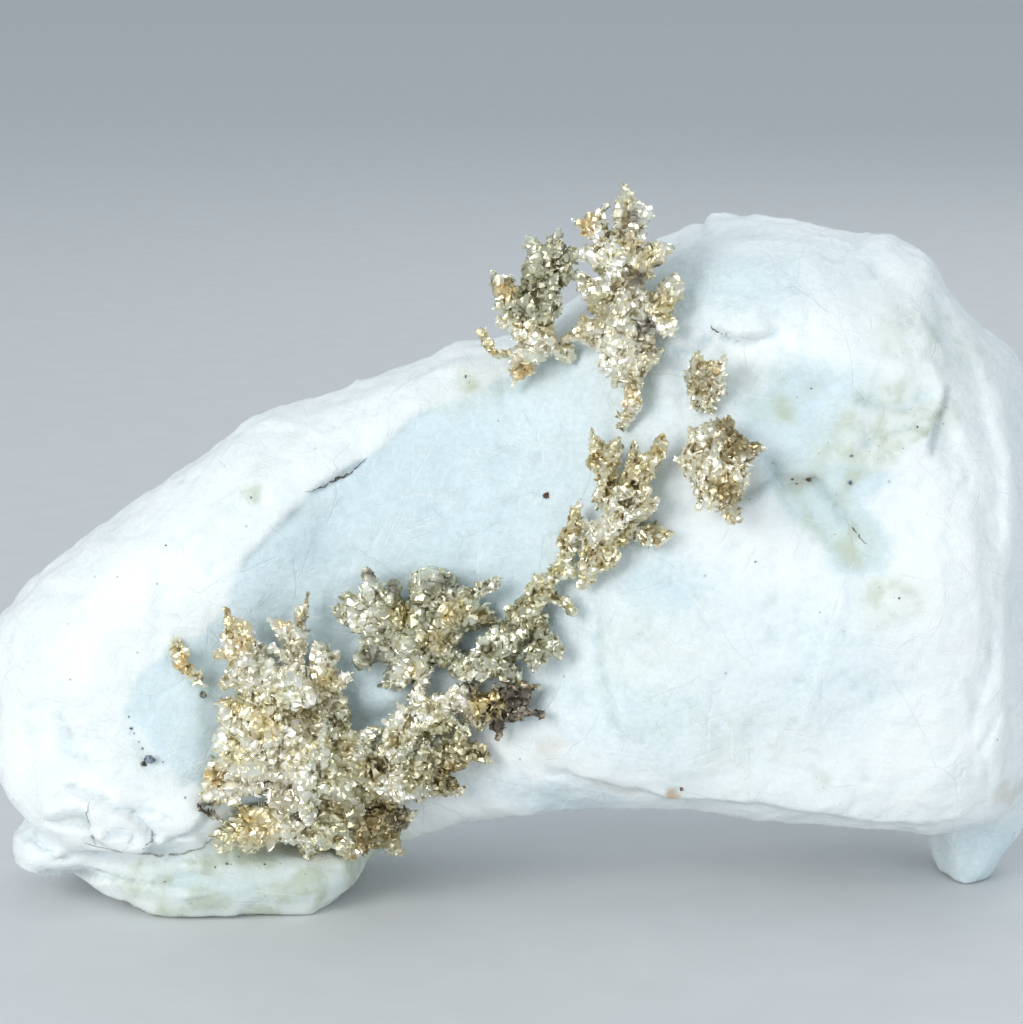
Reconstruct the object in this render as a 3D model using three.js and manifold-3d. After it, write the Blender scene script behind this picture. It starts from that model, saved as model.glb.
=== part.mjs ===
// Native silver on a white rock matrix, a cabinet mineral specimen about 113 mm long.
//
// The rock is a pale, massive lump with a rounded back, a broad face that leans back, a lip along its
// lower left edge and a foot under its heavy right end, so that its underside makes a low arch.
// Branches of silver crystals run across the face and stand up over its top edge.
//
// Millimetres. +X runs to the right along the face, +Y goes into the rock, +Z is up.
// The origin ends up under the middle of the object, on the surface that it stands on.
import * as THREE from "three";
import { mergeVertices } from "three/addons/utils/BufferGeometryUtils.js";
import Module from "manifold-3d";

const wasm = await Module();
wasm.setup();

// ---------------------------------------------------------------- driving dimensions
const LEFT_END = -54; // the two ends of the rock along X
const RIGHT_END = 59.5;
const STATIONS = 31; // slices along the rock
const FACE_STEPS = 16; // steps of a slice over the face
const BACK_STEPS = 9; // steps of a slice over the back
const GAP = 0.3; // air left between pieces that meet
const WIDENING = 0.5; // how much wider than itself a limb's cutter is: more than the gap, as its sides slant
const CRYSTAL_STEP = 1.1; // distance between the crystals along the thinnest limb
const CRYSTAL_GROWTH = 0.7; // how much further apart they are for each millimetre of a limb's radius
const SHOULDER = 4; // how far under the top edge the growths that stand over it are seated
const ROOT_DEPTH = 0.5; // how far behind the face a growth starts
const THICK_LIMB = 2.3; // radius from which a limb has six sides and not four

// The crystals of a limb, in radii of the limb.
const POINT_REACH = [1.1, 1.55]; // the least and the most that a crystal's point stands out
const NOTCH_REACH = [0.6, 0.75]; // the same for the notch between two points
const POINT_LEAN = 0.6; // how far a point leans towards the tip
const TIP_REACH = 2.2; // how far the last crystal stands past the end of its limb

// ---------------------------------------------------------------- small tools
const { lerp, clamp, smoothstep, degToRad } = THREE.MathUtils;

// A smooth curve through [x, value] pairs that never overshoots them.
function lineThrough(...pairs) {
  const slopes = pairs.slice(1).map(([x, v], i) => (v - pairs[i][1]) / (x - pairs[i][0]));
  const tangents = pairs.map((_, i) => {
    const before = slopes[i - 1] ?? slopes[i];
    const after = slopes[i] ?? before;
    return before * after <= 0 ? 0 : (2 * before * after) / (before + after);
  });
  return (x) => {
    const last = pairs.length - 2;
    const i = clamp(pairs.findIndex(([px]) => px > x) - 1, 0, last) || (x >= pairs[last][0] ? last : 0);
    const [x0, v0] = pairs[i];
    const [x1, v1] = pairs[i + 1];
    const t = clamp((x - x0) / (x1 - x0), 0, 1);
    const rise = (3 * t * t - 2 * t * t * t) * (v1 - v0);
    const bend = (t * t * t - 2 * t * t + t) * tangents[i] + (t * t * t - t * t) * tangents[i + 1];
    return v0 + rise + bend * (x1 - x0);
  };
}

// A closed three.js geometry as a solid that can be joined and cut.
function solidOf(geometry) {
  const bare = geometry.index ? geometry.toNonIndexed() : geometry.clone();
  const positions = new THREE.BufferGeometry().setAttribute("position", bare.getAttribute("position"));
  const merged = mergeVertices(positions, 1e-4);
  return new wasm.Manifold(
    new wasm.Mesh({
      numProp: 3,
      vertProperties: merged.attributes.position.array,
      triVerts: new Uint32Array(merged.index.array),
    }),
  );
}

// ---------------------------------------------------------------- the rock
// Outline of the face, seen square on: the ridge along the top and the edge along the bottom.
const topEdge = lineThrough(
  [LEFT_END, 19], [-53.2, 25], [-52, 27.5], [-49.8, 30], [-47, 32.3], [-42, 36.2], [-36.8, 40],
  [-31.6, 43.8], [-26.5, 47.6], [-21.4, 49.2], [-16, 50.8], [-11, 52.6], [-6, 54.3], [-1, 55.2],
  [3, 56.6], [6, 59.4], [9, 61.5], [12.5, 64], [16, 66], [20, 67], [26.5, 67.6], [31.6, 66.6],
  [37, 65.2], [39.5, 64.6], [42, 62.6], [44.5, 59.2], [47.3, 56.3], [50, 54.6], [52.5, 51.6],
  [55.5, 45], [58, 36], [RIGHT_END, 26],
);
const bottomEdge = lineThrough(
  [LEFT_END, 19], [-53.4, 14.6], [-51.5, 11.6], [-49.5, 9.8], [-47, 7.8], [-44, 6.6], [-37, 5.6],
  [-31, 5.8], [-26, 3.4], [-20, 2], [-16, 2.4], [-13, 3.3], [-8.5, 5.2], [-3.6, 6.5], [1.3, 7.4],
  [6, 8.1], [11, 8.6], [16, 8.7],
  [21, 8.4], [26, 7.7], [33, 7.2], [43.5, 6.6], [49, 7.4], [54, 11], [57.5, 17], [RIGHT_END, 26],
);
// Depth of the face and of the back, each near the bottom and near the top of a slice.
const faceLow = lineThrough(
  [LEFT_END, -2], [-50, -9], [-44, -12], [-30, -13], [-20, -10], [-8, -9], [3, -12], [12, -16],
  [25, -18], [40, -18], [46.5, -16.6], [49.5, -13], [54, -6], [RIGHT_END, 4],
);
const faceHigh = lineThrough(
  [LEFT_END, -2], [-50, -5], [-40, -8.5], [-20, -9], [0, -8], [14, -11], [30, -13.5], [40, -13.4],
  [46, -11.6], [49.5, -8], [54, -1], [RIGHT_END, 4],
);
const backLow = lineThrough(
  [LEFT_END, 2], [-50, 8], [-40, 13], [-10, 16], [15, 18], [35, 22], [50, 19], [RIGHT_END, 8],
);
const backHigh = lineThrough(
  [LEFT_END, 2], [-50, 7], [-40, 10], [-10, 13], [15, 16], [35, 20], [50, 18], [RIGHT_END, 8],
);
const ridgeDepth = lineThrough([LEFT_END, 1], [-45, 2], [-20, 4], [10, 5], [30, 5], [RIGHT_END, 6]);

// Broad forms of the face: where they lie, their half length and half height, how they are turned, how
// far they stand out, and the share of them that is level.
const faceForms = [
  { x: -8, z: 36, long: 32, high: 14, turn: 46, out: -2.4, level: 0.5 }, // the dish behind the silver
  { x: 27, z: 60, long: 15, high: 8, turn: -5, out: 1.6, level: 0 }, // the brow over the right end
  { x: 20, z: 55.5, long: 7, high: 3, turn: 10, out: -1.3, level: 0 }, // a notch in the brow
  { x: 36, z: 59, long: 9, high: 6, turn: 30, out: 1.3, level: 0 },
  { x: 28, z: 52.5, long: 8, high: 5.5, turn: 0, out: -2, level: 0.1 }, // a thumb-sized hollow
  { x: 41, z: 51, long: 6, high: 2.6, turn: 60, out: -1.4, level: 0 },
  { x: 30.5, z: 39.5, long: 12, high: 4, turn: -46, out: -2.1, level: 0 }, // the valley under the hollow
  { x: 40, z: 32.5, long: 12, high: 14, turn: 10, out: 1.6, level: 0.2 }, // the swell right of the valley
  { x: 8, z: 19, long: 12, high: 8, turn: 30, out: 1.4, level: 0.1 }, // the swell under the dish
  { x: -44, z: 27.5, long: 11, high: 11, turn: 0, out: 1.3, level: 0.1 }, // the left shoulder
  { x: -38, z: 10, long: 13.5, high: 9, turn: -6, out: 3, level: 0.35 }, // the plate over the lip
  { x: -20, z: 46, long: 16, high: 3, turn: 36, out: 0.9, level: 0 }, // the raised rim of the dish
];

function formHeight(x, z, form) {
  const c = Math.cos(degToRad(form.turn));
  const s = Math.sin(degToRad(form.turn));
  const along = ((x - form.x) * c + (z - form.z) * s) / form.long;
  const across = ((z - form.z) * c - (x - form.x) * s) / form.high;
  return form.out * (1 - smoothstep(Math.hypot(along, across), form.level, 1));
}

// How far the slice at x has closed in at a share t of its height: 1 at mid-height and 0 at its edges.
const TOP_SQUARENESS = 2.6;
const bottomSquareness = lineThrough([LEFT_END, 4.5], [-46, 8], [-31, 8], [-25, 4.5], [RIGHT_END, 4.5]);
function fullness(x, t) {
  const n = t > 0.5 ? TOP_SQUARENESS : bottomSquareness(x);
  return Math.pow(1 - Math.pow(Math.abs(2 * t - 1), n), 1 / n);
}

const sliceShare = (x, z) => clamp((z - bottomEdge(x)) / (topEdge(x) - bottomEdge(x)), 0, 1);

// Depth of the face at a place on it, with ripples and slow waves of a third of a millimetre.
function faceY(x, z) {
  const t = sliceShare(x, z);
  const middle = ridgeDepth(x);
  const ripple = 0.35 * Math.sin(x / 3.3 + z / 5) * Math.sin(z / 4.1 - x / 7);
  const waves = ripple + 0.3 * Math.sin(x / 6 - z / 3.1);
  const forms = faceForms.reduce((sum, form) => sum + formHeight(x, z, form), waves);
  return middle - (middle - lerp(faceLow(x), faceHigh(x), t) + forms) * fullness(x, t);
}

// Depth of the back, which is lumpy.
function backY(x, z) {
  const t = sliceShare(x, z);
  const middle = ridgeDepth(x);
  const lumps = 1.3 * Math.sin(x / 9 + 1) * Math.cos(z / 8) + 0.9 * Math.sin(x / 4.5 - z / 6);
  return middle + (lerp(backLow(x), backHigh(x), t) - middle + lumps) * fullness(x, t);
}

// A closed skin over rings of points, with a point at each end.
function skinOver(rings, firstTip, lastTip) {
  const sides = rings[0].length;
  const points = [...rings.flat(), firstTip, lastTip];
  const faces = [];
  for (let i = 0; i < rings.length - 1; i++)
    for (let j = 0; j < sides; j++) {
      const a = i * sides + j;
      const b = i * sides + ((j + 1) % sides);
      faces.push(a, b, b + sides, a, b + sides, a + sides);
    }
  const lastRing = (rings.length - 1) * sides;
  for (let j = 0; j < sides; j++) {
    const next = (j + 1) % sides;
    faces.push(rings.length * sides, next, j);
    faces.push(rings.length * sides + 1, lastRing + j, lastRing + next);
  }
  return new THREE.BufferGeometry().setFromPoints(points).setIndex(faces);
}

// Step k of n, with the steps closer together at both ends.
const easedStep = (k, n, ease) => lerp(k / n, 0.5 - 0.5 * Math.cos((Math.PI * k) / n), ease);

// The main lump: slices from end to end. A slice runs up the back and then down the face.
function rockBody() {
  const rings = [];
  for (let i = 1; i < STATIONS; i++) {
    const x = lerp(LEFT_END, RIGHT_END, easedStep(i, STATIONS, 0.55));
    const ring = [];
    const add = (depth, t) => {
      const z = lerp(bottomEdge(x), topEdge(x), t);
      ring.push(new THREE.Vector3(x, depth(x, z), z));
    };
    for (let k = 0; k < BACK_STEPS; k++) add(backY, easedStep(k, BACK_STEPS, 0.75));
    for (let k = FACE_STEPS; k > 0; k--) add(faceY, easedStep(k, FACE_STEPS, 0.75));
    rings.push(ring);
  }
  const tip = (x) => new THREE.Vector3(x, ridgeDepth(x), topEdge(x));
  return skinOver(rings, tip(LEFT_END), tip(RIGHT_END));
}

// A rounded boulder shape of given half sizes, with a slightly wavy skin.
function boulder(x, y, z, halfX, halfY, halfZ) {
  const geometry = new THREE.SphereGeometry(1, 12, 7);
  const points = geometry.getAttribute("position");
  const boxy = (v) => Math.sign(v) * Math.pow(Math.abs(v), 0.8);
  for (let i = 0; i < points.count; i++) {
    const [px, py, pz] = [points.getX(i), points.getY(i), points.getZ(i)];
    const wave = 1 + 0.05 * Math.sin(5 * px + 3 * py) + 0.04 * Math.sin(6 * pz - 4 * px);
    points.setXYZ(i, x + halfX * boxy(px) * wave, y + halfY * boxy(py) * wave, z + halfZ * boxy(pz) * wave);
  }
  return geometry;
}

// The lip that carries the left end: how far it reaches forwards, backwards and down, from end to end.
const LIP_START = -47;
const LIP_END = -13.5;
const LIP_TOP = 6.6;
const LIP_STATIONS = 8;
const LIP_SIDES = 9;
const lipFront = lineThrough(
  [LIP_START, -3], [-44, -8], [-41, -11], [-37, -14], [-32.5, -15], [-26, -14], [-20, -13.2],
  [-16, -11], [LIP_END, -5],
);
const lipBack = lineThrough([LIP_START, 3], [-40, 9.5], [-25, 11.5], [LIP_END, 5]);
const lipBottom = lineThrough(
  [LIP_START, 4], [-44, 1.8], [-40, 0.5], [-35, -0.8], [-20, -0.8], [-17, 0.6], [-15, 2.2], [LIP_END, 4],
);
const squared = (v) => Math.sign(v) * Math.sqrt(Math.abs(v)); // turns a round section into a squarer one
function lip() {
  const rings = [];
  for (let i = 1; i < LIP_STATIONS; i++) {
    const x = lerp(LIP_START, LIP_END, easedStep(i, LIP_STATIONS, 0.6));
    const [y, halfY] = [(lipBack(x) + lipFront(x)) / 2, (lipBack(x) - lipFront(x)) / 2];
    const [z, halfZ] = [(LIP_TOP + lipBottom(x)) / 2, (LIP_TOP - lipBottom(x)) / 2];
    const ring = [];
    for (let j = 0; j < LIP_SIDES; j++) {
      const turn = (2 * Math.PI * (j + 0.5)) / LIP_SIDES;
      const [out, up] = [Math.cos(turn), Math.sin(turn)].map(squared);
      ring.push(new THREE.Vector3(x, y + halfY * out, z + halfZ * up));
    }
    rings.push(ring);
  }
  const tip = (x) => new THREE.Vector3(x, (lipFront(x) + lipBack(x)) / 2, (LIP_TOP + lipBottom(x)) / 2);
  return skinOver(rings, tip(LIP_START), tip(LIP_END));
}

// The foot under the right end, a blunt wedge, from its tip upwards: [z, x, y, half width, half depth].
const FOOT_SIDES = 8;
const footLevels = [
  [-0.6, 46.7, 2.4, 2.6, 4.8],
  [1.6, 46.9, 2.8, 3.7, 5.8],
  [5.4, 47.6, 4, 5.7, 7.6],
  [9, 48, 5, 6.6, 9],
  [14, 47.4, 6, 5.6, 8.5],
];
function foot() {
  const rings = footLevels.map(([z, x, y, halfX, halfY]) => {
    const corner = (_, j) => {
      const turn = (2 * Math.PI * (j + 0.3)) / FOOT_SIDES;
      const chip = 1 + 0.06 * Math.sin(5 * turn + z);
      return new THREE.Vector3(x + halfX * chip * Math.cos(turn), y + halfY * chip * Math.sin(turn), z);
    };
    return Array.from({ length: FOOT_SIDES }, corner);
  });
  const middle = ([z, x, y]) => new THREE.Vector3(x, y, z);
  return skinOver(rings, middle(footLevels[0]), middle(footLevels.at(-1)));
}

// Everything that the rock is joined from.
const rockForms = [
  rockBody(),
  lip(),
  foot(),
  boulder(-44.6, -4, 5.6, 5.7, 8.5, 2.7), // the blunt nose at the end of the lip
];

// The same closed geometry with its skin moved outwards.
function swollen(geometry, distance) {
  const grown = mergeVertices(geometry.clone().deleteAttribute("normal").deleteAttribute("uv"), 1e-4);
  grown.computeVertexNormals();
  const points = grown.getAttribute("position");
  const normals = grown.getAttribute("normal");
  for (let i = 0; i < points.count; i++) {
    points.setX(i, points.getX(i) + distance * normals.getX(i));
    points.setY(i, points.getY(i) + distance * normals.getY(i));
    points.setZ(i, points.getZ(i) + distance * normals.getZ(i));
  }
  return grown;
}

// Flat breaks across the back and the ends: a point on the break and the way it faces.
const breaks = [
  { at: [51, -11, 30], facing: [0.85, -0.5, 0.05] }, // the side that turns away at the right
  { at: [57, 4, 40], facing: [0.94, 0.15, 0.3] },
  { at: [40, 19.5, 46], facing: [0.3, 0.88, 0.36] },
  { at: [12, 15, 40], facing: [-0.12, 0.97, 0.16] },
  { at: [-26, 12.4, 28], facing: [-0.2, 0.97, 0.05] },
  { at: [20, 14, 60], facing: [0.1, 0.72, 0.68] },
  { at: [-51.5, 4, 24], facing: [-0.86, 0.42, 0.2] },
  { at: [-34, 9, 37], facing: [-0.4, 0.62, 0.66] },
];
// Shells broken out of the back, which leave shallow bowls with sharp rims.
const scoops = [
  boulder(2, 33, 46, 24, 20, 17),
  boulder(43, 39, 26, 21, 21, 19),
  boulder(-30, 31, 12, 19, 19.5, 15),
];

const CUTTER_SIZE = 160;
function breakAway({ at, facing }) {
  const turn = new THREE.Quaternion().setFromUnitVectors(
    new THREE.Vector3(0, 0, 1),
    new THREE.Vector3(...facing).normalize(),
  );
  const block = new THREE.BoxGeometry(CUTTER_SIZE, CUTTER_SIZE, CUTTER_SIZE).translate(0, 0, CUTTER_SIZE / 2);
  return solidOf(block.applyQuaternion(turn).translate(...at));
}

const joined = (solids) => solids.reduce((sum, solid) => sum.add(solid));
const cutAway = (body, cutters) => cutters.reduce((rest, cutter) => rest.subtract(cutter), body);
const ground = breakAway({ at: [0, 0, 0], facing: [0, 0, -1] });
const rockCutters = [ground, ...breaks.map(breakAway), ...scoops.map(solidOf)];
const rock = cutAway(joined(rockForms.map(solidOf)), rockCutters);
const rockClearance = joined(rockForms.map((form) => solidOf(swollen(form, GAP))));

// ---------------------------------------------------------------- the silver
// Each growth is a list of limbs, and each limb a list of places along its axis:
// [x, z, how far the axis stands off the face, radius]. The largest growths come first.
const growths = {
  mass_heart: [
    [[-24, 22, 3, 2.2], [-21.8, 18, 3.6, 2.8], [-18, 13.6, 3.6, 2.8]],
    [[-21, 20.4, 3, 2], [-18.4, 17.4, 3.8, 2.5], [-15.6, 15.2, 3.4, 2.1]],
    [[-17, 16.4, 3, 1.7], [-14.2, 18, 3, 0.9]],
    [[-20.6, 14.8, 3.8, 2.3], [-24, 16.6, 3.2, 1.9]],
  ],
  east_arm: [
    [[-13, 13.2, 3.4, 2.3], [-8.4, 15.2, 3.2, 2.2], [-5.4, 16.6, 2.6, 1.5], [-3.6, 17, 2, 0.7]],
    [[-5.6, 16.4, 2.6, 1.1], [-4.8, 18.6, 2.6, 0.6]],
    [[-9.4, 14, 3, 1.7], [-5.4, 12.6, 2, 0.6]],
    [[-4.6, 16.6, 2.2, 0.6], [-2.2, 16, 2, 0.3]],
  ],
  south_fringe: [
    [[-20, 9.6, 3.4, 2.1], [-16.4, 9, 3.6, 2.2], [-12.8, 9.6, 3.2, 1.8], [-11.2, 10, 3, 1]],
    [[-19.4, 9.2, 3, 1.6], [-20.4, 6, 2, 0.7]],
    [[-16.4, 8.8, 3, 1.5], [-16, 5, 2, 0.6]],
    [[-12.6, 9.2, 3, 1.3], [-11.6, 5.8, 2, 0.6]],
  ],
  west_lobe: [
    [[-24.6, 16, 3, 2], [-27.2, 15.2, 2.8, 1.7], [-29.2, 13.4, 2, 0.6]],
    [[-25, 18.6, 3, 1.8], [-26.6, 19.4, 3, 1.4], [-28.2, 18.4, 2.5, 0.4]],
    [[-25.2, 17, 3, 1.4], [-25.4, 19.6, 3, 1.6], [-27.2, 21.6, 2.5, 0.7]],
  ],
  northeast_arm: [
    [[-12.4, 16, 3.2, 1.8], [-10.4, 18.8, 3.4, 2.1], [-7.6, 21, 3, 1.7], [-6.2, 21.6, 3, 1]],
    [[-8.6, 20, 3, 1.5], [-6, 19.6, 2.5, 0.8]],
    [[-9.4, 20, 3, 1.2], [-9.2, 22.4, 3, 0.6]],
  ],
  spire_northwest: [
    [[-24.4, 23, 3, 2], [-26, 27, 3, 1.6], [-26.6, 29.2, 3, 1], [-27.4, 31, 3, 0.4]],
    [[-25.8, 25.6, 3, 1.1], [-28, 24.2, 2, 0.5]],
    [[-25.6, 26.8, 3, 0.7], [-28.4, 27, 2.4, 0.25]],
    [[-25.6, 25.6, 3, 1.1], [-24.4, 27, 2.6, 0.5]],
  ],
  north_branch: [
    [[-19.4, 21.4, 3, 1.7], [-18.8, 24.6, 3, 1.3], [-19, 26.6, 3, 0.6]],
    [[-19, 23.2, 3, 1], [-15.8, 23.8, 3, 0.3]],
    [[-18.9, 24, 3, 1.1], [-17.6, 26, 3, 0.5]],
    [[-19.2, 21.8, 3, 1.5], [-16.8, 20.4, 3, 0.9], [-16.4, 19.2, 3, 0.5]],
  ],
  southwest_arm: [
    [[-21.8, 10.2, 3, 1.7], [-24.4, 9.8, 3, 1.7], [-26.6, 9.6, 2.4, 1.3], [-28, 8.8, 2, 0.6]],
    [[-25, 9.6, 2.8, 1.2], [-26, 7.6, 2, 0.5]],
  ],
  flower_stalk: [
    [[-21, 23.4, 2.6, 1.1], [-21.3, 26, 2.6, 0.8], [-20.7, 28.8, 3, 0.9]],
    [[-21.1, 28, 3, 1], [-23, 29.6, 3, 0.4]],
    [[-20.8, 28.8, 3, 0.7], [-20, 31.8, 3, 0.3]],
    [[-21.2, 25.8, 2.6, 1], [-23.4, 27, 2.6, 0.5]],
  ],
  tall_spray_body: [
    [[10.9, 57.2, 3.4, 1.9], [10.3, 60, 4, 2.4], [10.4, 62.6, 4, 1.5]],
    [[10.6, 62.4, 4, 1.4], [12.8, 65, 4, 1], [14.4, 65.8, 4, 0.6]],
    [[11.4, 58.8, 3.4, 1.5], [14, 60.2, 3, 1.4], [15, 62.2, 3, 0.8]],
    [[12.6, 60.6, 3, 1.3], [14.8, 58.8, 3, 0.7]],
    [[10, 58.8, 3.4, 1.4], [7.8, 58, 3, 1.1], [5.8, 57.2, 3, 0.5]],
    [[9.8, 61.2, 3.6, 1.2], [7.6, 62, 3.4, 0.7], [6.2, 63.2, 3.4, 0.3]],
  ],
  tall_spray_crown: [
    [[10.6, 65.2, 4, 1.7], [11, 67.4, 4, 1.3], [11.4, 69.4, 3.6, 1.1], [11, 71.2, 3, 0.5]],
    [[11, 66.8, 4, 1], [12.6, 69.2, 3.4, 0.5]],
    [[10.7, 66, 4, 1.2], [8.5, 67, 3.6, 1], [7.9, 68.8, 3.6, 0.7], [9, 70, 3.6, 0.3]],
    [[8.4, 67.4, 3.6, 0.8], [6.3, 68.4, 3.6, 0.3]],
    [[10.2, 65.6, 4, 1.3], [7.4, 65.4, 4, 0.7]],
  ],
  tall_spray_tail: [
    [[11.2, 55.4, 3, 1.6], [11.5, 53.4, 2.4, 1.2], [11.8, 51.4, 1.8, 0.8], [10.6, 49.2, 1, 0.3]],
    [[11.3, 54.6, 2.6, 1.2], [13.6, 56, 2.4, 0.6]],
    [[11.2, 55, 2.8, 1.2], [8.9, 55, 2.5, 0.5]],
  ],
  left_spray_crown: [
    [[2.7, 60.2, 3.4, 1.8], [3.4, 63.2, 3.4, 1.6], [4.1, 65.8, 3.2, 0.8]],
    [[3, 62, 3.4, 1.2], [2.1, 65.8, 3, 0.4]],
    [[3.2, 61.6, 3.4, 1.2], [5.2, 64.6, 3, 0.6]],
    [[2.5, 59.6, 3.4, 1.4], [0, 60.8, 3.4, 1.1], [-1.3, 62.6, 3, 0.5]],
  ],
  left_spray_foot: [
    [[2.4, 58, 3, 1.5], [2.1, 56, 2.4, 1.3]],
    [[2.2, 56.8, 2.6, 1.3], [1, 54.6, 2, 0.9], [0.4, 52.8, 1.5, 0.4]],
    [[2.4, 56.6, 2.6, 1], [5.4, 55.3, 1.6, 0.5]],
    [[2.2, 57.2, 2.8, 1.2], [-0.2, 58.2, 2.5, 0.7]],
    [[1, 55.4, 2, 0.5], [-1.4, 55.1, 2, 0.35], [-3, 57.4, 2, 0.25]],
  ],
  fan_body: [
    [[-8, 31, 3, 1.9], [-8.4, 29, 3.4, 2.2], [-9.6, 27, 3, 1.9], [-11.2, 24.2, 2, 0.8]],
    [[-8, 30.4, 3, 1.5], [-6.8, 33, 3, 0.7]],
    [[-9.6, 28, 3, 1.5], [-13.2, 27, 2.6, 1.1], [-14.4, 25.8, 2, 0.5]],
    [[-9.6, 26.4, 2.6, 1.2], [-8.8, 23.2, 1.6, 0.5]],
    [[-8.8, 27.2, 2.6, 1.2], [-5.4, 25.7, 1.6, 0.5]],
    [[-8, 30, 3.2, 1.6], [-4.8, 30.2, 2.6, 1.3], [-3, 29.7, 2, 0.7]],
  ],
  fan_left: [
    [[-11.4, 29.2, 3, 1.6], [-14.2, 30, 2.8, 1.4], [-16.2, 30.2, 2.5, 0.6]],
    [[-12, 29.6, 3, 1.3], [-13.4, 32.4, 3, 0.8], [-14, 34.2, 3.4, 0.3]],
    [[-11.6, 29.8, 3, 1], [-11.4, 33.2, 3, 0.3]],
    [[-14.6, 30, 2.6, 0.8], [-16, 31.8, 2.5, 0.3]],
  ],
  fan_right_arm: [
    [[-5.2, 31.8, 3, 0.8], [-3.4, 32.5, 3, 0.6], [-2, 33.3, 3, 0.7]],
  ],
  chain_lower: [
    [[0.4, 28.4, 3, 1.7], [-1.6, 26.6, 3, 2], [-3.8, 25, 2.6, 1.5], [-4.8, 24.5, 2, 0.8]],
    [[-1.4, 26.4, 2.8, 1.4], [0, 24.2, 2, 0.7]],
  ],
  tarnished_knot: [
    [[-3.6, 21.6, 3, 1.4], [-2.4, 21.6, 3.4, 1.6], [-1, 22, 3, 1.1]],
    [[-2, 21.8, 3, 1.2], [0.8, 23, 2.5, 0.9]],
    [[-1.6, 21.6, 3, 1.2], [1.2, 21.4, 2.4, 1], [2.8, 21.3, 2, 0.3]],
    [[-2, 21.4, 2.8, 1], [-1.2, 19.2, 2, 0.4]],
  ],
  chain_upper: [
    [[5, 35.4, 2, 0.9], [3.2, 33.6, 2.2, 1.2], [2, 31.8, 2.5, 1.4], [1.2, 30.4, 2.5, 1.1]],
    [[2.4, 32.2, 2.2, 0.8], [5, 32.4, 1.6, 0.5], [5.8, 31.2, 1.5, 0.3]],
    [[1.8, 31.8, 2.5, 1.1], [0.1, 30.8, 2.5, 0.5]],
  ],
  bead_cluster: [
    [[2.6, 29.3, 2.4, 1.2], [3.2, 28.6, 2.5, 1.1], [4, 27.8, 2.5, 0.7]],
    [[3, 28.8, 2.4, 1], [2.4, 26.6, 2.5, 0.8]],
  ],
  middle_stem: [
    [[10.4, 41.6, 3, 1.6], [9.4, 39.2, 2.8, 1.7], [8, 36.6, 2.2, 1.2], [6.8, 34.2, 1.6, 0.5]],
    [[10.2, 40.6, 3, 1.3], [12.8, 42.4, 3, 0.8]],
    [[9.4, 40, 2.8, 1.1], [7.8, 39, 2.5, 0.5]],
    [[8.8, 37.8, 2.2, 1], [10.4, 38.4, 2, 0.5]],
  ],
  middle_right_fork: [
    [[11.3, 43.4, 3, 1.2], [12.2, 45, 3, 1.2], [13.8, 47.4, 3, 0.8], [14.5, 48.8, 3, 0.3]],
    [[11.8, 44.4, 3, 1.1], [11.6, 47.4, 3, 0.5]],
  ],
  middle_left_fork: [
    [[9.5, 43, 3, 1.3], [8.9, 45.4, 3, 1.1], [8.1, 47.6, 3, 0.7]],
    [[9.2, 44.4, 3, 1], [10.1, 47.6, 3, 0.4]],
  ],
  middle_needle: [
    [[5.3, 36.8, 2, 0.9], [5.6, 38.6, 2.5, 0.7], [6.5, 41.8, 3.4, 0.25]],
    [[5.5, 37.4, 2.2, 0.7], [6.9, 39.8, 3, 0.3]],
  ],
  shelf_sprig: [
    [[12, 39.4, 1, 0.9], [13.2, 38.8, 1.2, 0.9], [15, 39.5, 1.4, 0.3]],
  ],
  round_tuft: [
    [[19.6, 47, 3.2, 2], [20, 45, 3.4, 1.7], [20.6, 42.8, 3, 0.9], [20.9, 41.4, 2.5, 0.4]],
    [[19.6, 46.6, 3, 1.6], [21.4, 47.4, 3, 1.2]],
    [[19.4, 46.2, 3, 1.6], [18, 47.8, 3, 1.1], [17.2, 49.2, 3, 0.5]],
    [[19.6, 45.4, 3, 1.1], [17.8, 42.9, 2.5, 0.4]],
    [[18.6, 46, 2.6, 0.7], [16.4, 46, 2.5, 0.35], [15.4, 47, 2.5, 0.2]],
    [[20.2, 47.4, 3, 1], [20.2, 50.2, 3, 0.3]],
  ],
  small_tuft: [
    [[18.3, 52.2, 1.5, 1.1], [17.8, 54, 2.4, 1], [17.6, 55.6, 3, 0.4]],
    [[18.7, 52.6, 1.6, 1.1], [19.3, 54.2, 2.4, 0.9], [20, 55.8, 3, 0.3]],
    [[18.2, 52.8, 1.6, 0.9], [16.9, 54.2, 2.5, 0.3]],
  ],
  stray_nugget: [
    [[-32.4, 27, 1.2, 0.7], [-31.9, 25.6, 1.5, 0.6], [-30.7, 24.5, 1.2, 0.6]],
  ],
  stray_wire: [
    [[-30.3, 12, 1, 0.4], [-29.4, 11.3, 1, 0.3], [-28.4, 10.7, 1, 0.3]],
  ],
};

// A repeatable stream of numbers from 0 to 1.
function chance(seed) {
  let state = seed;
  return () => {
    state = (state + 0x6d2b79f5) | 0;
    let mixed = Math.imul(state ^ (state >>> 15), 1 | state);
    mixed = (mixed + Math.imul(mixed ^ (mixed >>> 7), 61 | mixed)) ^ mixed;
    return ((mixed ^ (mixed >>> 14)) >>> 0) / 2 ** 32;
  };
}

// A place in space, a given distance off the face. Above the top edge it keeps the depth of the shoulder.
function offFace(x, z, lift) {
  return new THREE.Vector3(x, faceY(x, Math.min(z, topEdge(x) - SHOULDER)) - lift, z);
}

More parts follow.
